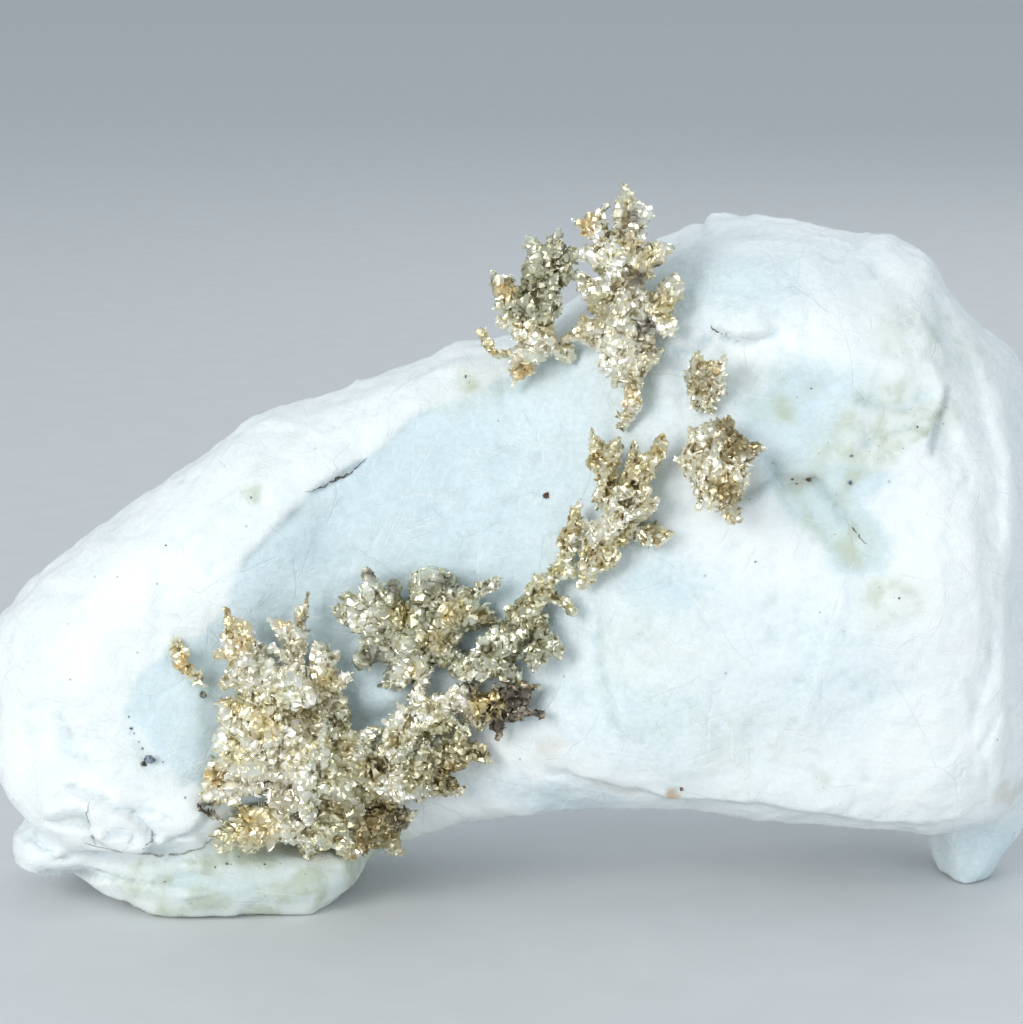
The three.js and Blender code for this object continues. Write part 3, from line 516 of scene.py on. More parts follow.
rim = [
    (-31.0, 14.0), (-33.9, 16.0), (-35.5, 18.6), (-37.8, 21.2), (-36.4, 24.1), (-33.3, 27.3), (-30.4, 28.4),
    (-27.9, 31.7), (-26.7, 34.9), (-24.4, 37.7), (-20.2, 42.8), (-17.3, 44.0), (-14.1, 46.4), (-9.5, 50.5),
    (-2.0, 54.0),
]
HOLLOW = 0.22  # this deep under the smoothed skin, in millimetres, a hollow counts in full
within, _ = beside(on_face + 0.4 * bends, rim)
wandering = on_face + 1.1 * bends
pocket = soft_spot(wandering, -12, 34, 38, 17, 46, 1) + soft_spot(wandering, -30, 21, 9, 9, 0, 1.0)
# painted shade in part: the dish's grey, laid into the grey mask below, is partly its own tone and partly the
# shade of its hollow
dish = np.clip(0.5 - within / 0.7, 0, 1) * np.minimum(pocket, 1)
# each mask holds stains and, in grey and rust, painted shadow spots; grey also takes the dish
for mask_name, spots in stains_and_shade.items():
    amount = sum(soft_spot(wandering, *spot) for spot in spots) + (dish if mask_name == "grey" else 0)
    write_mask(rock_mesh, mask_name, facing * amount)
write_mask(rock_mesh, "hollow", -standing_out(rock_mesh, 24) / HOLLOW)
print("stains:", {name: len(spots) for name, spots in stains_and_shade.items()})

# %% [markdown]
# ## Effects that several materials share
#
# Each is a node group, made once: clouds of a chosen size, fine grain, dark specks, pale scratches and
# a broken web of hairlines. They only put out a mask or a height. Each material sets its own sizes
# and amounts.

# %% Clouds and grain
def per_metre(tree, size):
    """How many grains of a size in millimetres go in a metre, which is the scale of a texture."""
    return math_of(tree, "DIVIDE", 1000.0, size)


clouds, given, put_out, where = new_group("clouds", {"Size": 10.0, "Low": 0.4, "High": 0.6}, "Mask")
cloud = noisy(clouds, where, per_metre(clouds, given["Size"]), 4.0, 0.55)
clouds.links.new(ranged(clouds, cloud, given["Low"], given["High"]), put_out)

grain, given, put_out, where = new_group("grain", {"Size": 0.5}, "Height")
scale = per_metre(grain, given["Size"])
coarse = noisy(grain, where, scale, 5.0, 0.6)
finer = noisy(grain, where, product(grain, scale, 3.7))
grain.links.new(sum_of(grain, finer, 0.3, coarse), put_out)
print("groups:", clouds.name, grain.name)

# %% Specks and scratches
inputs = {"Spacing": 2.0, "Share": 0.1, "Radius": 0.12}
specks, given, put_out, where = new_group("specks", inputs, "Mask")
inputs = {"Vector": where, "Scale": per_metre(specks, given["Spacing"])}
cells = node(specks, "ShaderNodeTexVoronoi", inputs)
lot = node(specks, "ShaderNodeSeparateColor", {"Color": cells.outputs["Color"]}).outputs[0]
chosen = math_of(specks, "LESS_THAN", lot, given["Share"])
near = ranged(specks, cells.outputs["Distance"], given["Radius"], product(specks, given["Radius"], 0.4))
specks.links.new(product(specks, chosen, near), put_out)

scratches, given, put_out, where = new_group("scratches", {"Turn": 0.0, "Low": 0.7}, "Mask")
spin = node(scratches, "ShaderNodeCombineXYZ", {"Y": given["Turn"]}).outputs[0]
stretch = (0.34 * MM, 14 * MM, 8 * MM)  # narrow across the stroke and long down it
inputs = {"Vector": where, "Rotation": spin, "Scale": stretch}
turned = node(scratches, "ShaderNodeMapping", inputs, vector_type="TEXTURE").outputs[0]
strokes = noisy(scratches, turned, 1.0, 1.0)
above = math_of(scratches, "ADD", given["Low"], 0.04)
scratches.links.new(ranged(scratches, strokes, given["Low"], above), put_out)

hairlines, given, put_out, where = new_group("hairlines", {"Size": 10.0, "Width": 0.01}, "Mask")
waves = node(hairlines, "ShaderNodeTexNoise", {"Vector": where, "Scale": 220.0, "Detail": 3.0})
inputs = {"Vector": waves.outputs["Color"], "Scale": 1.6 * MM}
bent_by = node(hairlines, "ShaderNodeVectorMath", inputs, operation="SCALE").outputs[0]
wavy = node(hairlines, "ShaderNodeVectorMath", {0: where, 1: bent_by}, operation="ADD").outputs[0]
scale = per_metre(hairlines, given["Size"])
inputs = {"Vector": wavy, "Scale": scale}
edges = node(hairlines, "ShaderNodeTexVoronoi", inputs, feature="DISTANCE_TO_EDGE")
line = ranged(hairlines, edges.outputs["Distance"], given["Width"], 0.0)
broken = ranged(hairlines, noisy(hairlines, where, product(hairlines, scale, 1.7)), 0.46, 0.60)
hairlines.links.new(product(hairlines, line, broken), put_out)
print("groups:", specks.name, scratches.name, hairlines.name)

# %% [markdown]
# ## The rock's finish
#
# Massive white rock is never one white. It is painted a little greyer, bluer and dirtier in the
# hollows, which is grime and painted shade in one, and it is greener along cracks. It has a satin
# shine where it is smooth, and it carries a few dark specks and old scratches. Light also goes a
# short way into it, which a small subsurface share gives.

# %% White rock
white_rock, tree, shader = new_material("white_rock")


def mask_of(tree, name):
    """One of the numbers kept on a mesh's points."""
    return node(tree, "ShaderNodeAttribute", attribute_name=name).outputs["Fac"]


broad = use(tree, clouds, size=16.0, low=0.40, high=0.66)
close = use(tree, clouds, size=2.6, low=0.35, high=0.70)
hollow, green, rust = (mask_of(tree, name) for name in ("hollow", "green", "rust"))
# painted shade: the hollow mask turns the skin greyer and bluer where shade falls in the hollows, and the
# grey mask also holds painted shadow spots and the dish
grey = sum_of(tree, broad, 0.20, product(tree, mask_of(tree, "grey"), 0.85))
grey = sum_of(tree, hollow, 0.45, grey)
patchy = product(tree, green, ranged(tree, close, 0.0, 1.0, 0.35, 1.0))
# grime and painted shade in one: a brownish grey laid into the hollows
grime_and_shade = product(tree, hollow, ranged(tree, close, 0.2, 0.9, 0.0, 0.30))
dots = use(tree, specks, spacing=2.2, share=0.20, radius=0.085)
peppered = product(tree, use(tree, specks, spacing=0.8, share=0.35, radius=0.16), green)
strokes = use(tree, scratches, turn=0.45, low=0.66)
for turn, low in ((-0.8, 0.66), (1.25, 0.67), (-1.4, 0.67), (0.0, 0.69)):
    strokes = math_of(tree, "MAXIMUM", strokes, use(tree, scratches, turn=turn, low=low))
strokes = product(tree, strokes, use(tree, clouds, size=7.0, low=0.40, high=0.60))
lines = use(tree, hairlines, size=9.0, width=0.010)
sugar = ranged(tree, use(tree, grain, size=0.55), 0.45, 0.85)
layers = [  # how strongly each colour lies over those before it, and the colour
    # the grey layer is stains and painted shade: the hollows, the dish and the shadow spots
    (grey, (0.69, 0.82, 0.88)),
    (product(tree, patchy, 0.95), (0.54, 0.60, 0.47)),
    (grime_and_shade, (0.42, 0.40, 0.32)),
    (product(tree, rust, 0.8), (0.52, 0.35, 0.17)),
    (product(tree, dots, 0.6), (0.30, 0.27, 0.22)),
    (product(tree, peppered, 0.8), (0.25, 0.25, 0.20)),
    (product(tree, strokes, 0.3), (0.99, 0.99, 0.98)),
    (product(tree, lines, 0.14), (0.52, 0.58, 0.54)),
    (product(tree, sugar, ranged(tree, grey, 0.0, 0.8, 0.10, 0.40)), (0.55, 0.66, 0.66)),
]
body = (0.92, 0.96, 0.955)
for share, over in layers:
    body = blended(tree, share, body, over)

fine = use(tree, grain, size=0.8)
relief = sum_of(tree, math_of(tree, "ADD", strokes, lines), -0.5, sum_of(tree, close, 1.2, fine))
finished(tree, shader, body, ranged(tree, fine, 0.35, 0.95, 0.36, 0.60), relief, 0.55, 0.14)
feed(tree, shader, {"Subsurface Weight": 0.12, "Subsurface Scale": 1.0 * MM, "Specular IOR Level": 0.45})
feed(tree, shader, {"Subsurface Radius": (1.0, 0.95, 0.9)})
print("white rock mixed")

# %% Setting the rock in the scene
def placed(name, mesh, finish, slot, *stands_for):
    """A piece of the specimen: its mesh, its finish, and the solids that it stands for."""
    mesh.name = name
    mesh.materials.clear()
    mesh.materials.append(finish)
    made = bpy.data.objects.new(name, mesh)
    bpy.context.scene.collection.objects.link(made)
    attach(made, "root")
    if stands_for:
        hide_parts(*stands_for)
    return made


rock = placed("rock_skin", rock_mesh, white_rock, "white_rock", "rock_matrix")
print("rock:", len(rock.data.polygons), "faces")

# %% [markdown]
# ## Silver crystals
#
# Native silver grows as branching rows of small crystals. Seen close, a branch is a heap of blunt,
# many-sided lumps with crumpled skins, and thin leaves, needles and ferns stand out between them. Up to
# two dozen shapes of each kind are cut here, most as hulls round a handful of points. Every crystal
# is one of these, turned, stretched and set on the branch.

# %% Cutting lumps, needles and plates
def unit(vectors):
    return vectors / (np.linalg.norm(vectors, axis=1, keepdims=True) + 1e-9)


def hull(points):
    """The flat-sided body stretched round some points, as corners and triangles."""
    mesh = bmesh.new()
    for point in points:
        mesh.verts.new(point)
    bmesh.ops.convex_hull(mesh, input=mesh.verts)
    bmesh.ops.delete(mesh, geom=[v for v in mesh.verts if not v.link_faces], context="VERTS")
    bmesh.ops.recalc_face_normals(mesh, faces=mesh.faces)
    mesh.verts.index_update()
    corners = np.array([v.co[:] for v in mesh.verts])
    faces = np.array([[v.index for v in f.verts] for f in mesh.faces])
    mesh.free()
    return corners, faces


def lump(random):
    """A blunt flat-sided crystal, longer than wide."""
    size = np.array([random.uniform(0.28, 0.42), random.uniform(0.20, 0.34), 0.55])
    return hull((unit(random.normal(size=(10, 3))) * size * random.uniform(0.85, 1.1, (10, 1))).tolist())


def spear(random, slender=1.0):
    """A long eight-sided crystal that comes to a point at both ends."""
    wide, deep = random.uniform(0.13, 0.24) / slender, random.uniform(0.08, 0.18) / slender
    waist = random.uniform(-0.2, 0.1)
    ring = [(wide, 0, waist), (0, deep, waist + 0.1), (-wide, 0, waist), (0, -deep, waist - 0.05)]
    return hull(ring + [(random.uniform(-0.06, 0.06), 0, 0.62), (0, random.uniform(-0.05, 0.05), -0.45)])


def plate(random):
    """A thin many-sided plate with bevelled edges."""
    turns = (np.arange(6) + random.uniform(-0.3, 0.3, 6)) * math.pi / 3
    rim = np.stack([0.34 * np.cos(turns), 0 * turns, 0.5 * np.sin(turns)], 1)
    rim = rim * random.uniform(0.7, 1.1, (6, 1))
    thick = np.array([0, random.uniform(0.05, 0.10), 0])
    return hull(np.concatenate([rim, 0.66 * rim + thick, 0.66 * rim - thick]).tolist())


print("lump, spear and plate")

# %% Cutting leaves and ferns
def flake(random):
    """A cupped leaf of metal with a keel behind it, which catches light along its curled rim."""
    cup, curl = random.uniform(-0.25, 0.45), random.uniform(-0.3, 0.3)
    front, rows = [], 4
    for share in np.linspace(0, 1, rows):
        half = 0.34 * math.sin(math.pi * (0.16 + 0.76 * share)) * random.uniform(0.75, 1.15)
        for side in (-1, 0, 1):
            bend = cup * side * side * 0.4 + curl * (share - 0.4) ** 2 * 2
            front.append((side * half, -bend - 0.04, share - 0.45 + random.uniform(-0.05, 0.05)))
    corners = np.array(front + [(0, 0.10 + max(cup, 0) * 0.2, -0.05)])
    faces = []
    for row in range(rows - 1):
        for column in range(2):
            a = row * 3 + column
            faces += [(a, a + 1, a + 4), (a, a + 4, a + 3)]
    rim = [0, 3, 6, 9, 10, 11, 8, 5, 2, 1]
    faces += [(rim[i], rim[(i + 1) % len(rim)], len(corners) - 1) for i in range(len(rim))]
    return corners, np.array(faces)


def together(parts):
    """Several lots of corners and faces as one."""
    corners, faces = zip(*parts)
    starts = np.cumsum([0] + [len(lot) for lot in corners[:-1]])
    return np.concatenate(corners), np.concatenate([lot + start for lot, start in zip(faces, starts)])


def frond(random):
    """A little fern: a stem crystal with pairs of side crystals, all in one plane."""
    parts = [spear(random, 1.3)]
    for level in np.linspace(-0.25, 0.3, 3):
        for side in (-1, 1):
            corners, faces = spear(random, 1.1)
            corners = corners * random.uniform(0.35, 0.55) * (1.1 - level)
            angle = side * math.radians(random.uniform(48, 66))
            c, s = math.cos(angle), math.sin(angle)
            turn = np.array([[c, 0, s], [0, 1, 0], [-s, 0, c]])
            parts.append((corners @ turn.T + [0.13 * side, 0, level + 0.08], faces))
    return together(parts)


shape_random = np.random.default_rng(11)
makers = {lump: 24, flake: 14, spear: 10, plate: 8, frond: 6}
shapes = {make.__name__: [make(shape_random) for _ in range(count)] for make, count in makers.items()}
for kind, kept in shapes.items():
    print(len(kept), kind, "shapes of", round(sum(len(faces) for _, faces in kept) / len(kept)), "faces each")

# %% [markdown]
# A crystal needs a place, a direction and a length. Places are drawn evenly over a branch's skin.
# Directions mix three things: straight out of the skin, away from the heart of the branch, and
# chance. The length follows how thick the branch is there, so that fine tips stay fine.

# %% Drawing places on a branch
def faces_of(mesh):
    """Which points each triangle of a mesh joins."""
    mesh.calc_loop_triangles()
    index = np.empty(len(mesh.loop_triangles) * 3, np.int32)
    mesh.loop_triangles.foreach_get("vertices", index)
    return index.reshape(-1, 3)


def triangles_of(mesh):
    """The corners of every triangle of a mesh, in millimetres."""
    return (points_of(mesh) / MM)[faces_of(mesh)]


def areas_of(triangles):
    across = np.cross(triangles[:, 1] - triangles[:, 0], triangles[:, 2] - triangles[:, 0])
    return across, np.linalg.norm(across, axis=1) / 2


def drawn_places(triangles, count, random):
    """Points spread evenly over triangles, with the way each of them faces."""
    across, areas = areas_of(triangles)
    pick = random.choice(len(triangles), count, p=areas / areas.sum())
    u, v = random.random(count), random.random(count)
    u, v = np.where(u + v > 1, 1 - u, u), np.where(u + v > 1, 1 - v, v)
    first, second, third = (triangles[pick, i] for i in range(3))
    spots = first + u[:, None] * (second - first) + v[:, None] * (third - first)
    return spots, across[pick] / (2 * areas[pick, None] + 1e-9)


def thickness_at(triangles, spots, ways, most=4.0):
    """How thick the branch is under each place."""
    corners = triangles.reshape(-1, 3).tolist()
    tree = BVHTree.FromPolygons(corners, [(i, i + 1, i + 2) for i in range(0, len(corners), 3)])
    found = [tree.ray_cast(Vector(s - 0.03 * w), Vector(-w), most)[3] for s, w in zip(spots, ways)]
    return np.array([most if f is None else f for f in found])


rock_tree = BVHTree.FromPolygons(
    (points_of(rock_mesh) / MM).tolist(), [tuple(p.vertices) for p in rock_mesh.polygons]
)


def over_rock(spots):
    """How far each place lies over the rock's skin. It is below zero inside the rock."""
    found = [rock_tree.find_nearest(Vector(spot)) for spot in spots]
    return np.array([(Vector(s) - place).dot(normal) for s, (place, normal, _, _) in zip(spots, found)])


print("rock tree ready")

# %% Setting crystals
def set_crystals(kind, spots, ways, sides, lengths, random):
    """Copies of one kind of crystal at many places: corners, faces and each corner's place."""
    parts, owners = [], []
    which = random.integers(len(shapes[kind]), size=len(spots))
    thirds = np.cross(ways, sides)
    for i, (shape_corners, shape_faces) in enumerate(shapes[kind]):
        mine = np.flatnonzero(which == i)
        if not len(mine):
            continue
        stretch = random.uniform(0.8, 1.25, (len(mine), 3)) * lengths[mine, None]
        axes = np.stack([sides[mine], thirds[mine], ways[mine]], 1)
        corners = (shape_corners[None] * stretch[:, None]) @ axes + spots[mine, None]
        steps = np.arange(len(mine))[:, None, None] * len(shape_corners)
        parts.append((corners.reshape(-1, 3), (shape_faces[None] + steps).reshape(-1, 3)))
        owners.append(np.repeat(mine, len(shape_corners)))
    corners, faces = together(parts)
    return corners, faces, np.concatenate(owners)


def lengths_of(middle, spread, least, most, random):
    """A chance length for each place, between the least and what that place allows at most."""
    return np.clip(middle * np.exp(spread * random.normal(size=len(most))), least, most)


def directions(spots, normals, heart, wander, random):
    """For each place, the way its crystal points and the way its flat side runs."""
    outward = unit(spots - heart)
    along = unit(outward - (outward * normals).sum(1, keepdims=True) * normals)
    lying = (random.random(len(spots)) < 0.5)[:, None]
    chance = wander * unit(random.normal(size=spots.shape))
    ways = unit(0.8 * np.where(lying, along, normals) + 0.45 * outward + chance)
    return ways, unit(np.cross(ways, unit(normals + 0.4 * random.normal(size=spots.shape))))


print("crystals can be set")

# %% [markdown]
# The body of a branch is made in four steps. Blunt lumps are heaped over the solid branch, and a
# fine net is wrapped over the heap, which joins them into one mass with creases between. Then small
# cells are pressed into the net, and each leans its own way. Last, the net is thinned out to about a
# third of its faces, which leaves flat facets that break the light as crumpled foil does.

# %% A heap of lumps
def mesh_of(name, corners, faces):
    """A mesh from corners in millimetres."""
    mesh = bpy.data.meshes.new(name)
    mesh.from_pydata(corners * MM, [], faces)
    return mesh


def with_lumps(solid, size, core, random):
    """The solid branch with blunt crystals heaped on it and a shrunken hull that fills its forks."""
    triangles = triangles_of(solid)
    area = areas_of(triangles)[1].sum()
    count = int(1.1 * area / size**2) + 8  # about one lump to each square of its own size
    spots, normals = drawn_places(triangles, count, random)
    thick = thickness_at(triangles, spots, normals)
    ways, sides = directions(spots, normals, triangles.reshape(-1, 3).mean(0), 0.5, random)
    lengths = lengths_of(size, 0.50, 0.4, 0.45 + 0.65 * thick, random)
    corners, faces, _ = set_crystals("lump", spots - 0.12 * normals, ways, sides, lengths, random)
    whole = (triangles.reshape(-1, 3), np.arange(3 * len(triangles)).reshape(-1, 3))
    parts = [whole, (corners, faces)]
    if core:
        middle = whole[0].mean(0)
        parts.append(hull((middle + core * (whole[0] - middle)).tolist()))
    return mesh_of("heap", *together(parts))


print("lumps can be heaped")

# %% The crumpled body of a branch
BODY_NET = 0.17 * MM
FACETS = 0.36  # the share of faces that is kept
SHARP = math.radians(24)  # edges that turn by more than this stay crisp
CLOSE_PASSES, FAR_PASSES = 16, 240  # of smoothing, to measure small hollows and large ones


def crumpled(points, size, bulge, lean, shift):
    """Heights of cells that bulge and lean, and a chance number for each point's cell."""
    inside, lots, offsets = cells_over(points, size, shift)
    leaning = (offsets * (lots - 0.5)).sum(1) * 2
    return bulge * (np.sqrt(np.clip(inside, 0, 1)) - 0.5) + lean * leaning, lots[:, 0]


def ranks(values):
    """Each number's place in the order of them all, from 0 to 1."""
    order = np.empty(len(values))
    order[np.argsort(values)] = np.linspace(0, 1, len(values))
    return order


def read_mask(mesh, name):
    values = np.empty(len(mesh.vertices), np.float32)
    mesh.attributes[name].data.foreach_get("value", values)
    return values


def body_of(solid, size, swell, core, seed, random):
    """A branch as crumpled metal in flat facets, with a tint and a reach on each of its points."""
    mesh = wrapped(with_lumps(solid, size, core, random), BODY_NET, 1)
    points = points_of(mesh) / MM
    normals = points_of(mesh, "normal")
    coarse, lot = crumpled(points, size=1.5, bulge=0.04, lean=0.40, shift=seed)
    small, small_lot = crumpled(points, size=0.60, bulge=0.03, lean=0.32, shift=seed + 5.0)
    folds = 0.16 * (crests_over(points, size=1.1, shift=seed) - 0.5)
    knobs = 0.22 * size * noise_over(points, size=2.6, octaves=2, shift=seed)
    moved = points + normals * (swell + coarse + small + folds + knobs)[:, None]
    mesh.vertices.foreach_set("co", (moved * MM).ravel())
    mesh.update()
    # the reach is what the finish uses to paint shade and tarnish in the hollows
    out = standing_out(mesh, CLOSE_PASSES) + 1.5 * standing_out(mesh, FAR_PASSES)
    write_mask(mesh, "crystal_tint", 0.6 * lot + 0.4 * small_lot)
    write_mask(mesh, "crystal_reach", ranks(out))
    return with_modifiers(mesh, [("DECIMATE", {"ratio": FACETS})])


print("bodies can be made")

# %% A branch with its coat
MIX = {"flake": 0.48, "spear": 0.18, "plate": 0.20, "frond": 0.14}
THIN_MIX = {"flake": 0.34, "spear": 0.38, "plate": 0.04, "frond": 0.24}


def coat_of_crystals(body, density, long, mix, random):
    """The thin crystals that stand out of one branch's body."""
    triangles = triangles_of(body)
    spots, normals = drawn_places(triangles, int(areas_of(triangles)[1].sum() * density) + 20, random)
    thick = thickness_at(triangles, spots, normals)
    kept = over_rock(spots + 0.4 * normals) > -0.1  # the others would point into the rock
    spots, normals, thick = spots[kept], normals[kept], thick[kept]
    ways, sides = directions(spots, normals, triangles.reshape(-1, 3).mean(0), 0.7, random)
    lengths = lengths_of(long, 0.36, 0.25, 0.3 + 0.4 * thick, random)
    spots = spots + normals * (lengths * random.uniform(-0.15, 0.12, len(spots)))[:, None]
    kinds = random.choice(list(mix), len(spots), p=list(mix.values()))
    tint = random.random(len(spots))
    parts, tints, reach = [], [], []
    for kind in mix:
        mine = np.flatnonzero(kinds == kind)
        if not len(mine):
            continue
        chosen = (values[mine] for values in (spots, ways, sides, lengths))
        corners, faces, owners = set_crystals(kind, *chosen, random)
        parts.append((corners, faces))
        tints.append(tint[mine][owners])
        reach.append(0.5 + ((corners - spots[mine][owners]) * normals[mine][owners]).sum(1) / 0.9)
    return together(parts), np.concatenate(tints), np.concatenate(reach)


def branch_mesh(solid, seed, size=0.95, swell=0.1, core=0.0, density=1.0, long=0.8, mix=MIX):
    """One branch: its crumpled body and the crystals on it, joined as one mesh."""
    random = np.random.default_rng(seed)
    body = body_of(solid, size, swell, core, seed, random)
    lots, out = read_mask(body, "crystal_tint"), read_mask(body, "crystal_reach")
    coat, tints, reach = coat_of_crystals(body, density, long, mix, random)
    corners, faces = together([coat, (points_of(body) / MM, faces_of(body))])
    bpy.data.meshes.remove(body)
    mesh = mesh_of("branch", corners, faces)
    mesh.shade_smooth()
    mesh.set_sharp_from_angle(angle=SHARP)
    write_mask(mesh, "crystal_tint", np.concatenate([tints, lots]))
    write_mask(mesh, "crystal_reach", np.concatenate([reach, out]))
    return mesh


print("branches can be grown")

# %% [markdown]
# ## The silver's finish
#
# Fresh silver is nearly white. In air and in the ground it turns cream, gold, olive, brown and at
# last black. The change starts in the hollows and leaves the tips bright, so the colour follows two
# masks that every crystal carries: its own chance tint, and how far it reaches out. The hollows are
# darkened as tarnish and as painted shade in one, for the shade that falls between the crystals. Six
# more masks say where on the specimen the metal has stayed paler or has turned further.

# %% Where the tarnish lies
tones = {  # x, z and reach in millimetres, then strength
    "pale": [
        (-1.9, 33.6, 1.4, 0.7), (-14.8, 31.1, 1.8, 0.8), (-7.9, 22.3, 2.2, 0.6), (-21, 16, 3.5, 0.5),
        (10.5, 57, 2.6, 1.0), (2.2, 57, 2.4, 1.0), (10.3, 55, 2.0, 0.8), (8.6, 39.8, 2.0, 0.8),
        (-14, 30, 2.4, 0.6), (-22, 27.6, 2.4, 1.2), (-26, 25.3, 2.4, 1.0), (-20, 24.2, 2.6, 1.0),
        (-6, 28.2, 2.0, 1.0), (-11.3, 25.3, 2.2, 1.0), (-8.6, 22.6, 2.4, 1.2), (-5.2, 22.6, 2.0, 0.9),
        (-23.6, 17, 2.8, 1.1), (-25.4, 14.2, 2.4, 1.3), (-21.6, 13.2, 2.2, 1.2), (-11.3, 14.3, 1.8, 0.9),
        (-23.4, 8.8, 3.0, 1.0),
    ],
    "golden": [
        (15.0, 60.8, 1.6, 0.9), (-10.8, 30.8, 1.4, 0.9), (-5.7, 30.8, 1.5, 0.9), (-7.3, 28.2, 1.6, 0.8),
        (-27.2, 30.5, 1.8, 0.8), (-17.9, 24.2, 1.8, 0.7), (-23.8, 20.3, 2.0, 0.7), (-25.7, 10.9, 1.0, 1.4),
        (-2.6, 21.8, 2.0, 0.9), (-28.2, 26.5, 1.4, 0.8), (-25, 9.6, 2.6, 0.7), (13, 65.4, 1.4, 0.5),
        (-4.3, 17.2, 1.8, 0.7), (-9.5, 25.2, 1.2, 0.6),
    ],
    "tawny": [
        (-31.6, 25.8, 1.3, 0.9), (7.2, 69.2, 1.3, 1.0), (11.3, 66.9, 1.1, 0.8), (1.2, 54.9, 1.3, 0.9),
        (3.8, 54.7, 1.2, 0.7), (-0.7, 62.7, 1.2, 0.8), (-25.9, 28.1, 1.1, 0.8), (-22.2, 30.2, 1.0, 0.8),
        (-28.9, 14.8, 1.3, 0.8), (10.8, 51.6, 1.6, 0.5), (-16.5, 5.6, 2.0, 0.4),
    ],
    "olive": [
        (2.3, 61.8, 1.8, 0.8), (4.6, 66.9, 1.8, 0.8), (19.5, 48.5, 2.6, 0.5), (16.8, 54.1, 2.0, 0.6),
        (-18.4, 27.8, 1.3, 0.8), (2.5, 27.7, 1.6, 0.8), (-10, 31, 5, 0.5), (-9.8, 16.6, 1.8, 0.7),
        (-3, 28, 3, 0.4), (9.5, 62, 2.2, 0.4), (3.4, 66, 2.6, 0.6), (10.6, 68.6, 2.6, 0.5),
        (5, 63.9, 2.0, 0.6), (15.6, 61.2, 1.6, 0.5), (11.6, 41.8, 2.4, 0.5), (12.9, 39.2, 1.6, 0.6),
        (10.4, 47.4, 2.0, 0.5), (2.0, 30.8, 2.4, 1.2), (-16.7, 21, 2.4, 0.8), (-16.7, 15.4, 2.4, 0.8),
        (-16.5, 10.4, 3.0, 1.1), (-8.0, 15.0, 2.8, 1.1), (-3.6, 18.2, 2.6, 0.9), (-11.2, 9.2, 2.0, 0.8),
    ],
    "brown": [
        (-2.6, 30.4, 1.2, 0.9), (-19.8, 20.2, 1.8, 0.8), (-13.5, 15.4, 1.8, 0.7), (-12.5, 11.5, 1.4, 0.8),
        (-14.1, 7.9, 1.6, 0.8), (-19.9, 32.6, 1.3, 1.0), (-22, 13, 1.6, 0.5), (-5.8, 14.6, 1.8, 0.8),
        (-27.1, 31.6, 0.8, 0.8), (-17.2, 11.6, 1.6, 0.6), (21.7, 48.3, 2.5, 1.3), (19.8, 43.0, 1.2, 0.8),
        (12.9, 57.2, 1.3, 0.6), (-12.6, 9.4, 3.0, 1.1), (-6.4, 14.4, 2.0, 0.7), (-3.2, 17.4, 1.8, 0.6),
        (20.8, 49.6, 2.0, 0.8), (21.0, 42.0, 1.6, 0.8), (18.3, 53.2, 1.6, 0.6), (-16.0, 17.4, 1.2, 0.8),
    ],
    "dark": [
        (11.3, 69.6, 1.0, 0.9), (11.6, 63.7, 1.3, 0.9), (12.7, 59.0, 1.0, 0.9), (13.9, 64.5, 0.8, 0.7),
        (-20.2, 29.9, 1.1, 0.8), (-13.5, 26.6, 1.4, 0.8), (-0.2, 25.2, 1.0, 0.4), (-11.1, 9.9, 1.2, 0.9),
        (-13.8, 34.7, 0.8, 0.9), (-11.4, 33.8, 0.8, 0.9), (-6.4, 34.0, 0.8, 0.9), (-8.1, 33.3, 0.8, 0.8),
        (-11.3, 32.7, 0.8, 0.7), (-29.6, 11.6, 1.0, 1.2), (0.4, 22.9, 1.0, 1.2), (-1.2, 19.6, 1.0, 1.2),
        (2.0, 21.8, 1.4, 1.2),
    ],
}


def with_tones(mesh):
    """The mesh, told how far its metal has turned at each of its points."""
    points = points_of(mesh) / MM - ORIGIN
    bends = np.stack([noise_over(points, size=1.2, octaves=2, shift=shift) for shift in (5.0, 9.0)], 1)
    around = drawn(points) + 0.5 * bends
    for tone, spots in tones.items():
        amounts = (soft_spot(around, x, z, reach, reach, 0, full) for x, z, reach, full in spots)
        write_mask(mesh, tone, sum(amounts))
    return mesh


print("tones:", {tone: len(spots) for tone, spots in tones.items()})

# %% Tarnished silver
turns = {
    "pale": (0.98, 0.955, 0.84), "golden": (0.84, 0.69, 0.36), "tawny": (0.80, 0.60, 0.29),
    "olive": (0.55, 0.53, 0.38), "brown": (0.38, 0.30, 0.15), "dark": (0.18, 0.16, 0.13),
}


